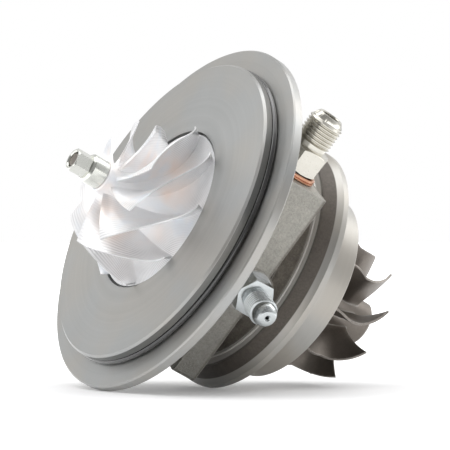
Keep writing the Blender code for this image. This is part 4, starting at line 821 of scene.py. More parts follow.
@dataclass
class Backplate:
    """The turned compressor backplate with its flange, pilot and O-ring."""

    frame: RotorFrame
    flange_radius: float = 74.0
    flange_thickness: float = 4.3
    flange_chamfer: float = 0.55
    pilot_radius: float = 64.2
    pilot_height: float = 6.4
    pilot_chamfer: float = 0.8
    ring_section: float = 2.6
    ring_gap: float = 0.2
    groove_depth: float = 1.9
    seam: float = 0.15
    boss_radius: float = 50.0
    boss_height: float = 3.2
    bore: float = 8.2
    recess_depth: float = 3.5
    wheel_hole: float = 34.3
    screw_circle: float = 25.0
    steps: int = 240

    def plate(self) -> bpy.types.Object:
        """Builds the plate itself."""
        rear = -self.flange_thickness
        floor = self.pilot_height - self.recess_depth
        wall = self.pilot_radius - self.groove_depth
        groove = self.ring_section + 2 * self.seam
        cut = self.flange_chamfer
        profile = [
            (self.wheel_hole, self.pilot_height),
            (self.pilot_radius - self.pilot_chamfer, self.pilot_height),
            (self.pilot_radius, self.pilot_height - self.pilot_chamfer),
            (self.pilot_radius, groove), (wall, groove), (wall, 0.0),
            (self.flange_radius - cut, 0.0), (self.flange_radius, -cut),
            (self.flange_radius, rear + cut), (self.flange_radius - cut, rear),
            (self.boss_radius, rear), (self.boss_radius, rear - self.boss_height),
            (self.bore, rear - self.boss_height), (self.bore, floor), (self.wheel_hole, floor),
        ]
        plate = as_object("backplate", turned(profile, self.steps), self.frame.matrix)
        holes = [self.screw_hole(index) for index in range(4)]
        tool = as_object("backplate_holes", joined(*holes), self.frame.matrix)
        combine(plate, tool, "DIFFERENCE")
        soften(plate, 0.12)
        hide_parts("compressor_backplate")
        return finish_piece(plate, BACKPLATE_STEEL, Slot.MACHINED_STEEL, "housing", self.frame)

    def screw_hole(self, index: int) -> bmesh.types.BMesh:
        """Returns the stepped hole of one backplate screw."""
        floor = self.pilot_height - self.recess_depth
        seat = floor - 5.3
        shape = turned([(0.0, floor + 1.0), (4.6, floor + 1.0), (4.6, seat), (2.8, seat),
                        (2.8, -9.0), (0.0, -9.0)], 40)
        place = direction(45.0 + 90.0 * index) * self.screw_circle
        bmesh.ops.translate(shape, verts=shape.verts, vec=place)
        return shape

    def ring(self) -> bpy.types.Object:
        """Builds the O-ring in its groove."""
        radius = self.ring_section / 2 - self.ring_gap
        middle = self.pilot_radius - self.groove_depth + self.seam + self.ring_gap + radius
        height = self.seam + self.ring_gap + radius
        profile = [(middle + radius * math.cos(math.tau * i / 24),
                    height - radius * math.sin(math.tau * i / 24)) for i in range(24)]
        ring = as_object("pilot_o_ring", turned(profile, self.steps), self.frame.matrix)
        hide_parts("backplate_o_ring")
        return finish_piece(ring, SEAL_RUBBER, Slot.RUBBER, "housing", self.frame, 80.0)

    def build(self) -> None:
        """Builds the plate and its O-ring."""
        self.plate()
        self.ring()


@dataclass
class CentreHousing:
    """The centre housing: a casting with machined faces, turbine flange and nose."""

    frame: RotorFrame
    front: float = -7.65
    body_radius: float = 44.0
    body_rear: float = -26.6
    block_front: float = -9.5
    block_rear: float = -27.5
    core: float = 20.0
    water_foot: float = 8.0
    lower_foot: float = 24.0
    corner: float = 1.5
    cast_edge: float = 0.5
    neck_radius: float = 41.6
    pad_angle: float = -117.2
    pad_height: float = 44.3
    water_face: float = 45.4
    lower_face: float = 42.6
    flange_front: float = -36.9
    lip_radius: float = 48.8
    chamfer_front: float = -41.9
    chamfer_radius: float = 50.9
    rim_front: float = -43.8
    rim_rear: float = -46.2
    rim_radius: float = 52.76
    nose_radius: float = 39.9
    nose_rear: float = -63.1
    recess_radius: float = 36.8
    recess_depth: float = 5.2
    seal_radius: float = 9.3
    bore: float = 12.65
    chamber: float = 18.0
    oil_station: float = -23.7
    oil_boss_height: float = 45.0
    water_station: float = -15.3
    water_offset: float = -29.7
    port_hole: float = 6.4
    lower_port_height: float = 48.4
    lower_port_offset: float = 4.0
    lower_port_station: float = -20.2
    drain_height: float = 50.0
    drain_station: float = -22.8
    drain_hole: float = 8.5
    drain_spacing: float = 36.0
    joint_plane: float = -36.6
    step_front: float = -36.45
    step_width: float = 2.5
    neck_fillet: float = 1.4
    steps: int = 200

    def in_block(self, across: float, out: float) -> tuple[float, float]:
        """Turns block coordinates, toward the water face and the oil pad, into the rotor's."""
        q = direction(self.pad_angle + 90.0)
        d = direction(self.pad_angle)
        return across * q.x + out * d.x, across * q.y + out * d.y

    def block(self) -> bmesh.types.BMesh:
        """Returns the flat-sided block under the oil pad, with the relief at its low corner."""
        top, low, pad, core = self.water_face, -self.lower_face, self.pad_height, self.core
        outline = [(top, pad), (top, self.water_foot), (core, self.water_foot), (core, core),
                   (-core, core), (-core, self.lower_foot), (low, self.lower_foot),
                   (low, pad - self.corner), (low + self.corner, pad)]
        return extruded([self.in_block(a, o) for a, o in outline], self.block_rear,
                        self.block_front)

    def drain_pad(self) -> bmesh.types.BMesh:
        """Returns the two-bolt pad round the oil drain."""
        half, middle, ear = self.drain_spacing / 2, 12.8, 7.0
        lean = math.acos((middle - ear) / half)
        arcs = [(half, ear, -lean, lean), (0.0, middle, lean, math.pi - lean),
                (-half, ear, math.pi - lean, math.pi + lean),
                (0.0, middle, math.pi + lean, math.tau - lean)]
        outline = [(-radius * math.sin(start + (end - start) * i / 10),
                    centre + radius * math.cos(start + (end - start) * i / 10))
                   for centre, radius, start, end in arcs for i in range(11)]
        return extruded(outline, self.neck_radius - 10.0, self.drain_height)

    def stub(self, radius: float, low: float, high: float, steps: int = 64) -> bmesh.types.BMesh:
        """Returns a plain cylinder about local Z."""
        return turned([(0.0, high), (radius, high), (radius, low), (0.0, low)], steps)

    def casting(self) -> bpy.types.Object:
        """Builds the cast body with its block, pads and bosses, and rounds its edges."""
        matrix = self.frame.matrix
        rear = self.joint_plane
        neck = [(self.chamber, self.front), (self.body_radius, self.front),
                (self.body_radius, self.body_rear), (self.neck_radius, self.body_rear - 3.5),
                (self.neck_radius, rear + 2.0 * self.neck_fillet),
                (self.neck_radius + 0.3 * self.neck_fillet, rear + self.neck_fillet),
                (self.neck_radius + self.neck_fillet, rear), (15.0, rear), (15.0, -30.0),
                (self.bore + 1.0, -30.0),
                (self.bore + 1.0, -14.0), (self.chamber, -10.4)]
        body = as_object("housing_casting", turned(neck, self.steps), matrix)
        adds = [
            as_object("add_block", self.block(), matrix),
            as_object("add_drain", self.drain_pad(),
                      self.frame.port(self.pad_angle + 180.0, 0.0, self.drain_station)),
            as_object("add_lower", self.stub(10.6, self.neck_radius - 8.0, self.lower_port_height),
                      self.frame.port(self.pad_angle - 90.0, self.lower_port_offset,
                                      self.lower_port_station)),
            as_object("add_oil", self.stub(9.4, self.neck_radius - 6.0, self.oil_boss_height),
                      self.frame.port(self.pad_angle, 0.0, self.oil_station)),
        ]
        for part in adds:
            combine(body, part, "UNION")
        relief = [self.in_block(a, o) for a, o in
                  ((-36.0, 60.0), (-36.0, 31.5), (-60.0, 31.5), (-60.0, 60.0))]
        combine(body, as_object("cut_relief", extruded(relief, -17.4, -5.0), matrix), "DIFFERENCE")
        for tool in self.bores():
            combine(body, tool, "DIFFERENCE")
        soften(body, self.cast_edge, 3)
        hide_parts("center_housing")
        return finish_piece(body, HOUSING_IRON, Slot.CAST_IRON, "housing", self.frame, 35.0)

    def bores(self) -> list[bpy.types.Object]:
        """Returns the cutters of the ports, the drain and the bolt holes."""
        port = self.frame.port
        angle = self.pad_angle
        cuts = [
            ("cut_water", self.port_hole, self.water_face - 13.0, self.water_face + 3.0,
             port(angle + 90.0, self.water_offset, self.water_station)),
            ("cut_lower", self.port_hole, self.lower_port_height - 13.0,
             self.lower_port_height + 3.0,
             port(angle - 90.0, self.lower_port_offset, self.lower_port_station)),
            ("cut_oil", 4.4, 34.0, self.oil_boss_height + 3.0, port(angle, 0.0, self.oil_station)),
            ("cut_drain", self.drain_hole, 14.0, self.drain_height + 3.0,
             port(angle + 180.0, 0.0, self.drain_station)),
        ]
        for side in (-1, 1):
            cuts.append((f"cut_bolt_{side + 2}", 3.4, self.drain_height - 11.0,
                         self.drain_height + 3.0,
                         port(angle + 180.0, side * self.drain_spacing / 2, self.drain_station)))
        return [as_object(name, self.stub(radius, low, high, 56), matrix)
                for name, radius, low, high, matrix in cuts]

    def flange(self) -> bpy.types.Object:
        """Builds the machined turbine end: flange, nose and its recess."""
        recess = self.nose_rear + self.recess_depth
        web = recess + 8.0
        profile = [
            (15.5, self.step_front), (self.neck_radius + self.step_width, self.step_front),
            (self.neck_radius + self.step_width + 0.35, self.step_front - 0.35),
            (self.neck_radius + self.step_width + 0.35, self.flange_front),
            (self.lip_radius - 0.7, self.flange_front),
            (self.lip_radius, self.flange_front - 0.6), (self.chamfer_radius, self.chamfer_front),
            (self.rim_radius, self.rim_front), (self.rim_radius, self.rim_rear),
            (self.nose_radius + 1.4, self.rim_rear), (self.nose_radius, self.rim_rear - 1.6),
            (self.nose_radius, self.nose_rear + 0.4), (self.nose_radius - 0.4, self.nose_rear),
            (self.recess_radius, self.nose_rear), (self.recess_radius, recess),
            (self.seal_radius, recess), (self.seal_radius, web), (15.5, web),
        ]
        ring = as_object("housing_turbine_end", turned(profile, 260), self.frame.matrix)
        soften(ring, 0.15)
        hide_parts("center_housing")
        return finish_piece(ring, FLANGE_STEEL, Slot.CAST_IRON, "housing", self.frame)

    def build(self) -> None:
        """Builds the casting and the machined turbine end."""
        self.casting()
        self.flange()


@dataclass
class Fittings:
    """The oil inlet adapter, the water adapter and its copper washer."""

    frame: RotorFrame
    pad_angle: float = -117.2
    oil_station: float = -23.7
    oil_base: float = 45.15
    oil_hex: float = 14.3
    oil_hex_height: float = 6.8
    oil_thread: float = 5.55
    oil_thread_length: float = 8.4
    oil_ridge: tuple[float, float] = (0.75, 1.27)
    oil_nose: float = 5.6
    oil_restrictor: float = 0.7
    water_station: float = -15.3
    water_offset: float = -29.7
    water_face: float = 45.4
    washer_thickness: float = 2.2
    washer_radius: float = 9.8
    water_hex: float = 17.5
    water_hex_height: float = 10.0
    water_thread: float = 7.14
    water_thread_length: float = 8.5
    water_ridge: tuple[float, float] = (0.85, 1.41)
    water_nose: float = 3.2
    thread_relief: float = 2.4
    seam: float = 0.15

    def collar(self, name: str, across: float, low: float, high: float, both: bool,
               matrix: Matrix) -> bpy.types.Object:
        """Builds a hexagon whose corners are turned off by a cone."""
        flat = across / 2
        reach = across / math.sqrt(3.0)
        rise = (reach - flat) * math.tan(math.radians(30.0)) * 1.4
        wide = reach + 0.2
        slope = rise / (wide - flat * 0.96)
        inner = flat * 0.96 - 1.0 / slope
        lower = [(wide, low + rise), (inner, low - 1.0)] if both else [(wide, low - 1.0)]
        profile = [(0.0, high + 1.0), (inner, high + 1.0), (wide, high - rise), *lower,
                   (0.0, low - 1.0)]
        body = as_object(name, extruded(hexagon(across), low, high), matrix)
        cone = as_object(name + "_cone", turned(profile, 96), matrix)
        combine(body, cone, "INTERSECT")
        return body

    def oil(self) -> bpy.types.Object:
        """Builds the oil inlet adapter with its restrictor hole."""
        matrix = self.frame.port(self.pad_angle, 0.0, self.oil_station)
        base, top = self.oil_base, self.oil_base + self.oil_hex_height
        thread_low = top + self.thread_relief
        nose = thread_low + self.oil_thread_length
        tip = nose + self.oil_nose
        profile = [(0.0, tip), (2.3, tip), (3.1, tip - 0.4), (3.8, tip - 1.2), (4.45, tip - 2.3),
                   (4.8, tip - 3.4), (4.85, nose + 0.9), (4.6, nose + 0.5), (5.1, nose + 0.3),
                   *threaded(nose, thread_low, self.oil_thread, *self.oil_ridge),
                   (4.8, thread_low - 0.5), (4.8, base + 3.0), (0.0, base + 3.0)]
        fitting = as_object("oil_adapter", turned(profile, 128), matrix)
        combine(fitting, self.collar("oil_collar", self.oil_hex, base, top, False, matrix), "UNION")
        stem = turned([(0.0, base + 4.0), (4.25, base + 4.0), (4.25, base - 10.5),
                       (0.0, base - 10.5)], 64)
        combine(fitting, as_object("oil_stem", stem, matrix), "UNION")
        bore = turned([(0.0, tip + 1.0), (1.6, tip + 0.3), (self.oil_restrictor, tip - 0.5),
                       (self.oil_restrictor, nose),
                       (2.2, nose - 1.2), (2.2, base - 12.0), (0.0, base - 12.0)], 48)
        combine(fitting, as_object("oil_bore", bore, matrix), "DIFFERENCE")
        soften(fitting, 0.12)
        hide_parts("oil_inlet_fitting")
        return finish_piece(fitting, BRIGHT_ZINC, Slot.PLATED_STEEL, "housing", self.frame, 35.0)

    def water(self) -> bpy.types.Object:
        """Builds the water adapter."""
        matrix = self.frame.port(self.pad_angle + 90.0, self.water_offset, self.water_station)
        base = self.water_face + 2 * self.seam + self.washer_thickness
        top = base + self.water_hex_height
        thread_low = top + self.thread_relief
        nose = thread_low + self.water_thread_length
        tip = nose + self.water_nose
        root = self.water_thread - 0.9
        profile = [(0.0, tip), (4.9, tip), (root + 0.2, tip - 2.2), (root + 0.2, nose + 0.6),
                   *threaded(nose, thread_low, self.water_thread, *self.water_ridge),
                   (root, thread_low - 0.5), (root, base + 3.0), (0.0, base + 3.0)]
        fitting = as_object("water_adapter", turned(profile, 128), matrix)
        combine(fitting, self.collar("water_collar", self.water_hex, base, top, True, matrix),
                "UNION")
        stem = turned([(0.0, base + 4.0), (6.25, base + 4.0), (6.25, self.water_face - 10.5),
                       (0.0, self.water_face - 10.5)], 64)
        combine(fitting, as_object("water_stem", stem, matrix), "UNION")
        bore = turned([(0.0, tip + 1.0), (4.4, tip + 0.4), (3.8, tip - 0.4),
                       (3.8, self.water_face - 12.0), (0.0, self.water_face - 12.0)], 64)
        combine(fitting, as_object("water_bore", bore, matrix), "DIFFERENCE")
        soften(fitting, 0.15)
        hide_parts("water_fitting")
        return finish_piece(fitting, PALE_ZINC, Slot.PLATED_STEEL, "housing", self.frame, 35.0)

    def seat(self) -> bpy.types.Object:
        """Builds the bright spot-faced ring that the oil adapter stands on."""
        low, high = self.oil_base - 0.23, self.oil_base - 0.07
        profile = [(4.6, high), (8.8, high), (8.8, low), (4.6, low)]
        matrix = self.frame.port(self.pad_angle, 0.0, self.oil_station)
        ring = as_object("oil_seat_face", turned(profile, 96), matrix)
        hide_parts("center_housing")
        return finish_piece(ring, SPOT_FACE, Slot.CAST_IRON, "housing", self.frame)

    def washer(self) -> bpy.types.Object:
        """Builds the copper washer with the dark groove round its rim."""
        low = self.water_face + self.seam
        high = low + self.washer_thickness
        middle = (low + high) / 2
        outer = self.washer_radius
        profile = [(6.55, high), (outer - 0.3, high), (outer, high - 0.35), (outer, middle + 0.25),
                   (outer - 0.45, middle + 0.05), (outer - 0.45, middle - 0.05),
                   (outer, middle - 0.25), (outer, low + 0.35), (outer - 0.3, low), (6.55, low)]
        matrix = self.frame.port(self.pad_angle + 90.0, self.water_offset, self.water_station)
        washer = as_object("copper_washer", turned(profile, 128), matrix)
        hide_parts("water_fitting_washer")
        return finish_piece(washer, WASHER_COPPER, Slot.COPPER, "housing", self.frame)

    def build(self) -> None:
        """Builds the two adapters, the oil adapter's seat and the washer."""
        self.oil()
        self.seat()
        self.water()
        self.washer()


Mean = Callable[[float, float], Vector]


@dataclass
class BladeRow:
    """A ring of equal blades, each a box that is bent onto a mean surface.

    Args:
        mean: gives the mean surface's point at a stream position and a span.
        count: how many blades stand round the axis.
        phase: angle of the first blade.
        root: thickness at the root.
        tip: thickness at the tip.
        chart: millimetres along and across the blade for its map.
    """

    mean: Mean
    count: int
    phase: float
    root: float
    tip: float
    chart: tuple[float, float]
    fillet: float = 1.6
    along: int = 44
    across: int = 16

    def thickness(self, s: float, k: float) -> float:
        """The blade's thickness, with a fillet that flares into the hub and thin ends."""
        body = self.tip + (self.root - self.tip) * (1.0 - k)
        flare = self.fillet * math.exp(-k * self.chart[1])
        return (body + flare) * (0.72 + 0.28 * min(1.0, s / 0.05, (1.0 - s) / 0.05 + 0.4))

    def normal(self, s: float, k: float) -> Vector:
        """The unit vector square to the mean surface."""
        step = 0.004
        low_s, high_s = max(s - step, 0.0), min(s + step, 1.0)
        low_k, high_k = max(k - step, 0.0), min(k + step, 1.0)
        along = self.mean(high_s, k) - self.mean(low_s, k)
        across = self.mean(s, high_k) - self.mean(s, low_k)
        return along.cross(across).normalized()

    def shape(self) -> bmesh.types.BMesh:
        """Returns the whole ring of blades."""
        shape = bmesh.new()
        bmesh.ops.create_grid(shape, x_segments=self.along, y_segments=self.across, size=0.5)
        bmesh.ops.translate(shape, verts=shape.verts, vec=(0.5, 0.5, -0.5))
        grown = bmesh.ops.extrude_face_region(shape, geom=shape.faces[:])
        raised = [item for item in grown["geom"] if isinstance(item, bmesh.types.BMVert)]
        bmesh.ops.translate(shape, verts=raised, vec=(0.0, 0.0, 1.0))
        chart = shape.loops.layers.uv.new("blade_map")
        for face in shape.faces:
            for loop in face.loops:
                loop[chart].uv = (loop.vert.co.x * self.chart[0], loop.vert.co.y * self.chart[1])
        for vert in shape.verts:
            s, k, side = vert.co
            k = k ** 1.25
            vert.co = self.mean(s, k) + self.normal(s, k) * (side * self.thickness(s, k))
        bmesh.ops.rotate(shape, verts=shape.verts, cent=(0.0, 0.0, 0.0),
                         matrix=Matrix.Rotation(math.radians(self.phase), 3, "Z"))
        turn = math.tau * (self.count - 1) / self.count
        bmesh.ops.spin(shape, geom=shape.verts[:] + shape.edges[:] + shape.faces[:],
                       cent=(0.0, 0.0, 0.0), axis=(0.0, 0.0, 1.0), dvec=(0.0, 0.0, 0.0),
                       angle=turn, steps=self.count - 1, use_duplicate=True)
        bmesh.ops.recalc_face_normals(shape, faces=shape.faces)
        return shape


def polar(radius: float, angle: float, height: float) -> Vector:
    """Returns a point from its radius, its angle and its height."""
    return Vector((radius * math.cos(math.radians(angle)), radius * math.sin(math.radians(angle)),
                   height))


def eased(start: tuple[float, float], end: tuple[float, float], s: float,
          curve: float) -> tuple[float, float]:
    """A meridional curve that leaves along the axis and arrives square to it."""
    sine = math.sin(math.pi * s / 2) ** (2 / curve)
    cosine = math.cos(math.pi * s / 2) ** (2 / curve) if s < 1 else 0.0
    return start[0] + (end[0] - start[0]) * (1 - cosine), start[1] + (end[1] - start[1]) * sine


@dataclass
class CompressorWheel:
    """The milled compressor wheel and the nut that clamps it."""

    frame: RotorFrame
    disc_radius: float = 33.4
    back: float = 3.2
    rim: float = 5.8
    inducer: tuple[float, float] = (26.9, 29.1)
    exducer: tuple[float, float] = (35.1, 9.4)
    nose_radius: float = 6.6
    nose_height: float = 35.2
    curve: float = 1.35
    hub_curve: float = 1.9
    bore: float = 3.15
    rings: int = 40
    chart: tuple[float, float] = (46.0, 17.0)
    root_lead: float = 2.6
    blades: int = 9
    phase: float = 4.8
    root_thickness: float = 1.5
    tip_thickness: float = 0.6

    def hub(self, s: float) -> tuple[float, float]:
        """The hub line from the nose to the rim of the disc."""
        return eased((self.nose_radius, self.inducer[1] + self.root_lead),
                     (self.disc_radius, self.rim), s, self.hub_curve)

    def wrap(self, s: float) -> float:
        """How far round a blade has turned."""
        return -2.6 + 122.3 * s - 72.4 * s ** 2 + 18.5 * s ** 3

    def mean(self, s: float, k: float) -> Vector:
        """The mean surface of one blade."""
        tip_r, tip_z = eased(self.inducer, self.exducer, s, self.curve)
        root_r, root_z = eased((self.nose_radius, self.inducer[1] + self.root_lead),
                               (self.disc_radius - 1.4, self.rim), s, self.hub_curve)
        root_r -= 0.9 * (1 - s)
        root_z -= 0.6 * s
        lean = -12.0 * (1 - s) ** 1.5 * (1 - k)
        return polar(root_r + (tip_r - root_r) * k, self.wrap(s) + lean,
                     root_z + (tip_z - root_z) * k)

    def chart_hub(self, hub: bmesh.types.BMesh) -> None:
        """Maps the hub so that the cutter's paths on it follow the channels."""
        chart = hub.loops.layers.uv.new("blade_map")
        line = [self.hub(index / self.rings) for index in range(self.rings + 1)]
        share: dict[tuple[float, float], float] = {}
        for face in hub.faces:
            middle = face.calc_center_median()
            centre = math.atan2(middle.y, middle.x)
            for loop in face.loops:
                place = loop.vert.co
                key = (round(math.hypot(place.x, place.y), 2), round(place.z, 2))
                if key not in share:
                    gaps = [math.dist(key, point) for point in line]
                    share[key] = gaps.index(min(gaps)) / self.rings
                turn = centre + math.remainder(math.atan2(place.y, place.x) - centre, math.tau)
                across = (turn - math.radians(self.wrap(share[key]))) * self.disc_radius
                loop[chart].uv = (share[key] * self.chart[0], across)

    def wheel(self) -> bpy.types.Object:
        """Builds the wheel."""
        profile = [(self.bore, self.nose_height), (self.nose_radius - 0.5, self.nose_height),
                   (self.nose_radius, self.nose_height - 0.5)]
        profile += [self.hub(index / self.rings) for index in range(self.rings + 1)]
        profile += [(self.disc_radius, self.back), (self.bore, self.back)]
        hub = turned(profile, 180)
        self.chart_hub(hub)
        blades = BladeRow(self.mean, self.blades, self.phase, self.root_thickness,
                          self.tip_thickness, self.chart).shape()
        wheel = as_object("compressor_impeller", joined(hub, blades), self.frame.matrix)
        soften(wheel, 0.08, 1, 50.0)
        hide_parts("compressor_wheel")
        return finish_piece(wheel, WHEEL_ALUMINIUM, Slot.MILLED_ALUMINIUM, "rotor", self.frame,
                            35.0)

    def nut(self) -> bpy.types.Object:
        """Builds the stepped nut."""
        matrix = self.frame.matrix
        low = self.nose_height + 0.15
        step = low + 6.95
        top = step + 6.8
        collar = as_object("wheel_nut", turned([(0.0, step), (5.0, step), (5.9, step - 0.9),
                                                (5.9, low), (0.0, low)], 96), matrix)
        crown = as_object("nut_crown", extruded(hexagon(8.3), step - 2.0, top), matrix)
        cone = as_object("nut_cone", turned([(0.0, top + 1.0), (3.0, top + 1.0), (4.9, top - 0.7),
                                             (4.9, step - 3.0), (0.0, step - 3.0)], 96), matrix)
        combine(crown, cone, "INTERSECT")
        combine(collar, crown, "UNION")
        hollow = turned([(0.0, top + 1.0), (3.9, top + 0.4), (3.15, top - 0.5), (3.15, low - 1.0),
                         (0.0, low - 1.0)], 64)
        combine(collar, as_object("nut_hollow", hollow, matrix), "DIFFERENCE")
        soften(collar, 0.15)
        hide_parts("shaft_nut")
        return finish_piece(collar, NUT_ZINC, Slot.PLATED_STEEL, "rotor", self.frame, 35.0)

    def build(self) -> None:
        """Builds the wheel and its nut."""
        self.wheel()
        self.nut()


@dataclass
class TurbineWheel:
    """The cast turbine wheel with its welded shaft."""

    frame: RotorFrame
    back: float = -64.0
    inlet_radius: float = 30.0
    inlet_rear: float = -71.5
    outlet_radius: float = 27.3
    outlet: float = -92.6
    disc_radius: float = 25.5
    hub_radius: float = 9.4
    hub_end: float = -98.0
    journal: float = 9.0
    groove_top: float = -52.5
    groove: float = 1.8
    blades: int = 9
    phase: float = -1.1
    root_thickness: float = 1.9
    tip_thickness: float = 0.95
    root_fillet: float = 2.2
    chart: tuple[float, float] = (30.0, 18.0)
    inlet_share: float = 0.35
    back_share: float = 0.2
    inlet_fall: float = 2.1
    inlet_run: float = 6.5
    turns: tuple[tuple[float, float], ...] = field(default=(
        (-64.0, -21.0), (-70.0, -21.5), (-76.0, -23.4), (-79.0, -23.8), (-82.0, -22.8),
        (-84.0, -20.8), (-86.4, -17.2), (-88.6, -12.6), (-90.6, -7.0), (-92.6, 0.0)))

    def angle(self, height: float) -> float:
        """How far round a blade has turned at a height, smoothed between its stations."""
        points = sorted(self.turns)
        height = min(max(height, points[0][0]), points[-1][0])
        last = max(i for i, point in enumerate(points[:-1]) if point[0] <= height)
        before = points[max(last - 1, 0)]
        low, high = points[last], points[last + 1]
        after = points[min(last + 2, len(points) - 1)]
        span = high[0] - low[0]
        share = (height - low[0]) / span
        rise_low = (high[1] - before[1]) / (high[0] - before[0]) * span
        rise_high = (after[1] - low[1]) / (after[0] - low[0]) * span
        square, cube = share ** 2, share ** 3
        return ((2 * cube - 3 * square + 1) * low[1] + (cube - 2 * square + share) * rise_low
                + (3 * square - 2 * cube) * high[1] + (cube - square) * rise_high)

    def hub(self, s: float) -> tuple[float, float]:
        """The hub line from the disc's rim to the outlet end."""
        cosine = math.cos(math.pi * s / 2) if s < 1 else 0.0
        radius = self.hub_radius + (self.disc_radius - self.hub_radius) * \
            (1 - math.sin(math.pi * s / 2))
        start = self.back - 1.4
        return radius, start + (self.outlet + 3.0 - start) * (1 - cosine)

    def mean(self, s: float, k: float) -> Vector:
        """The mean surface of one blade."""
        if s < self.inlet_share:
            share = s / self.inlet_share
            tip = (self.inlet_radius - self.inlet_fall * share ** 1.6,
                   self.inlet_rear - self.inlet_run * share)
        else:
            share = (s - self.inlet_share) / (1.0 - self.inlet_share)
            start = self.inlet_radius - self.inlet_fall
            low = self.inlet_rear - self.inlet_run
            tip = (start - (start - self.outlet_radius) * share,
                   low + (self.outlet - low) * share)
        root_r, root_z = self.hub(s)
        if s < self.back_share:
            lift = 1 - s / self.back_share
            root_r += (self.inlet_radius - root_r) * lift
            root_z += (self.back - 0.9 - root_z) * lift
        root_r -= 0.8 * min(s / self.back_share, 1)
        root_z += 0.5 * min(s / self.back_share, 1)
        height = root_z + (tip[1] - root_z) * k
        return polar(root_r + (tip[0] - root_r) * k, self.angle(height), height)

    def build(self) -> None:
        """Builds the wheel with its shaft."""
        shoulder = -57.9 + 8.0
        profile = [(0.0, 48.4), (2.5, 48.4), (3.0, 47.9), (3.0, -11.7), (4.0, -12.1),
                   (4.0, -40.45), (6.6, -40.45), (6.6, shoulder + 0.6),
                   (self.journal, shoulder - 0.4), (self.journal, self.groove_top),
                   (self.journal - self.groove, self.groove_top),
                   (self.journal - self.groove, self.groove_top - self.groove),
                   (self.journal, self.groove_top - self.groove), (self.journal, self.back + 0.6),
                   (self.journal + 2.4, self.back), (self.disc_radius, self.back)]
        profile += [self.hub(index / 36) for index in range(37)]
        profile += [(self.hub_radius, self.hub_end + 0.8), (self.hub_radius - 0.8, self.hub_end),
                    (0.0, self.hub_end)]
        matrix = self.frame.matrix
        wheel = as_object("turbine_rotor", turned(profile, 144), matrix)
        drive = as_object("hub_drive", extruded(hexagon(9.0), self.hub_end - 1.0, self.hub_end + 3.0),
                          matrix)
        combine(wheel, drive, "DIFFERENCE")
        blades = BladeRow(self.mean, self.blades, self.phase, self.root_thickness,
                          self.tip_thickness, self.chart, fillet=self.root_fillet).shape()
        both = bmesh.new()
        both.from_mesh(wheel.data)
        bmesh.ops.transform(blades, matrix=matrix, verts=blades.verts)
        mesh = bpy.data.meshes.new("turbine_blades")
        blades.to_mesh(mesh)
        blades.free()
        both.from_mesh(mesh)
        bpy.data.meshes.remove(mesh)
        both.to_mesh(wheel.data)
        both.free()
        soften(wheel, 0.12, 2, 50.0)
        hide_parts("turbine_wheel")
        finish_piece(wheel, WHEEL_NICKEL, Slot.NICKEL_ALLOY, "rotor", self.frame, 35.0)


@dataclass
class HeatShield:
    """The pressed dish behind the turbine wheel."""

    frame: RotorFrame
    seat: float = -58.05
    rim: float = 36.65
    flange: float = 5.6
    depth: float = 3.0
    wall: float = 1.0
    hole: float = 11.4

    def build(self) -> None:
        """Builds the dish."""
        step = self.rim - self.flange
        low = self.seat - self.depth
        profile = [(step, self.seat), (self.rim, self.seat), (self.rim, self.seat - self.wall),
                   (step + 0.6, self.seat - self.wall), (step - 2.4, low - self.wall),
                   (self.hole, low - self.wall), (self.hole, low), (step - 3.0, low)]
        dish = as_object("shield_dish", turned(profile, 160), self.frame.matrix)
        soften(dish, 0.3, 3)
        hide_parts("heat_shield")
        finish_piece(dish, SHIELD_SHEET, Slot.STAINLESS_SHEET, "housing", self.frame)


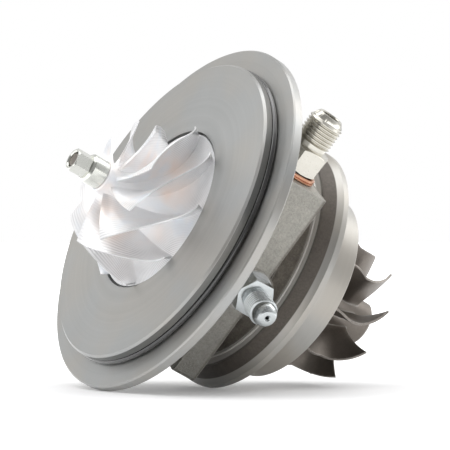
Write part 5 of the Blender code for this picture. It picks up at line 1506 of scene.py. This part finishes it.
@dataclass(frozen=True)
class Studio:
    """The floor, the light and the camera."""

    camera_place: tuple[float, float, float] = (-0.60665, -1.02165, 0.06707)
    camera_turn: tuple[float, float, float] = (89.871, -0.204, -30.695)
    focal_length: float = 239.62
    sensor: float = 36.0
    camera_side: tuple[float, float, float] = (-0.51, -0.86, 0.0)
    low_room: float = 0.75
    high_room: float = 0.92
    dark_top: float = 0.5
    dark_side: float = 0.3
    lamps: tuple[tuple[str, tuple[float, float, float], float, float], ...] = (
        ("front_light", (-1.12, 0.2, 1.14), 0.9, 5.0),
        ("top_light", (-0.3, 0.35, 1.45), 1.1, 6.0),
        ("back_light", (0.62, 0.1, 1.2), 1.0, 5.5),
        ("right_light", (1.35, -0.15, 0.95), 0.9, 3.5))

    def camera(self) -> None:
        """Stands the camera where the photograph was taken from."""
        data = bpy.data.cameras.new("studio_camera")
        data.lens = self.focal_length
        data.sensor_width = self.sensor
        data.clip_end = 50.0
        camera = bpy.data.objects.new("studio_camera", data)
        camera.location = self.camera_place
        camera.rotation_euler = [math.radians(angle) for angle in self.camera_turn]
        bpy.context.scene.collection.objects.link(camera)
        bpy.context.scene.camera = camera

    def world(self) -> None:
        """Gives the camera a white backdrop and the object a soft grey room."""
        world = bpy.data.worlds.new("studio")
        world.use_nodes = True
        bpy.context.scene.world = world
        w = Wiring(world.node_tree)
        shader = world.node_tree.nodes["Background"]
        path = w.node("ShaderNodeLightPath")
        ahead = w.node("ShaderNodeTexCoord").outputs["Generated"]
        parts = w.node("ShaderNodeSeparateXYZ")
        w.feed(parts.inputs[0], ahead)
        sky = w.math("SUBTRACT", w.remap(parts.outputs[2], 0.0, 0.45, self.low_room, self.high_room),
                     w.remap(parts.outputs[2], 0.5, 0.95, 0.0, self.dark_top))
        toward = w.vector_math("DOT_PRODUCT", ahead, self.camera_side).outputs["Value"]
        level = w.math("MULTIPLY", sky, w.remap(toward, -0.1, 0.9, 1.0, self.dark_side))
        room = w.mix(path.outputs["Is Glossy Ray"], (0.72, 0.72, 0.73), level)
        w.feed(shader.inputs["Color"], w.mix(path.outputs["Is Camera Ray"], room, (1.0, 1.0, 1.0)))
        shader.inputs["Strength"].default_value = 1.0

    def floor(self) -> None:
        """Lays the pale floor that keeps the object's shadow; its glow is painted light that fades
        toward the object, leaving painted shade round it.
        """
        shape = bmesh.new()
        bmesh.ops.create_grid(shape, x_segments=1, y_segments=1, size=6.0)
        floor = as_object("studio_floor", shape, Matrix.Identity(4))
        made = bpy.data.materials.new("studio_floor")
        made.use_nodes = True
        w = Wiring(made.node_tree)
        shader = made.node_tree.nodes["Principled BSDF"]
        shader.inputs["Base Color"].default_value = (0.88, 0.88, 0.88, 1.0)
        shader.inputs["Roughness"].default_value = 0.55
        path = w.node("ShaderNodeLightPath")
        seen = w.math("MAXIMUM", path.outputs["Is Camera Ray"], path.outputs["Is Glossy Ray"])
        seen = w.math("MAXIMUM", seen, path.outputs["Is Transmission Ray"])
        place = w.node("ShaderNodeTexCoord").outputs["Object"]
        away = w.vector_math("LENGTH", place).outputs["Value"]
        # Painted light: the floor glows for camera, glossy and transmission rays, weakest near the
        # object, so painted shade shows round its base and in its reflections.
        glow = w.remap(away, 0.10, 0.9, 0.16, 1.0)
        w.feed(shader.inputs["Emission Color"], (1.0, 1.0, 1.0, 1.0))
        w.feed(shader.inputs["Emission Strength"], w.math("MULTIPLY", seen, glow))
        floor.data.materials.append(made)

    def lamp(self, name: str, place: tuple[float, float, float], size: float, power: float) -> None:
        """Hangs a square soft light that faces the object."""
        data = bpy.data.lights.new(name, "AREA")
        data.shape = "SQUARE"
        data.size = size
        data.energy = power
        lamp = bpy.data.objects.new(name, data)
        lamp.location = place
        aim = Vector((0.0, 0.0, 0.06)) - Vector(place)
        lamp.rotation_euler = aim.to_track_quat("-Z", "Y").to_euler()
        bpy.context.scene.collection.objects.link(lamp)

    def build(self) -> None:
        """Sets up the whole studio."""
        self.camera()
        self.world()
        self.floor()
        for name, place, size, power in self.lamps:
            self.lamp(name, place, size, power)


INNER_FINISHES: dict[str, Finish] = {
    "housing_o_ring": SEAL_RUBBER,
    "front_ball_cage": CAGE_POLYMER,
    "rear_ball_cage": CAGE_POLYMER,
}


def dress_inner_nodes(frame: RotorFrame, nodes: dict[str, bpy.types.Object]) -> None:
    """Gives the hidden bearing pieces, seals and screws their finishes."""
    for name, item in nodes.items():
        if item.hide_render:
            continue
        finish = INNER_FINISHES.get(name, GROUND_STEEL)
        item.data.materials.clear()
        item.data.materials.append(material_of(finish, frame))
        LOG.info("dressed %s", name)


def main() -> None:
    """Builds every sub-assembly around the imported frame."""
    logging.basicConfig(level=logging.INFO, format="%(message)s")
    for item in list(bpy.data.objects):
        bpy.data.objects.remove(item, do_unlink=True)
    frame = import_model()
    spin = next(joint for joint in frame["joints"] if joint["name"] == "rotor_spin")
    rotor = RotorFrame.from_joint(spin)
    for assembly in (Backplate(rotor), CentreHousing(rotor), Fittings(rotor),
                     CompressorWheel(rotor), TurbineWheel(rotor), HeatShield(rotor)):
        assembly.build()
    dress_inner_nodes(rotor, frame["nodes"])
    Studio().build()
    bpy.context.scene.view_settings.view_transform = "Standard"


if __name__ == "__main__":
    main()
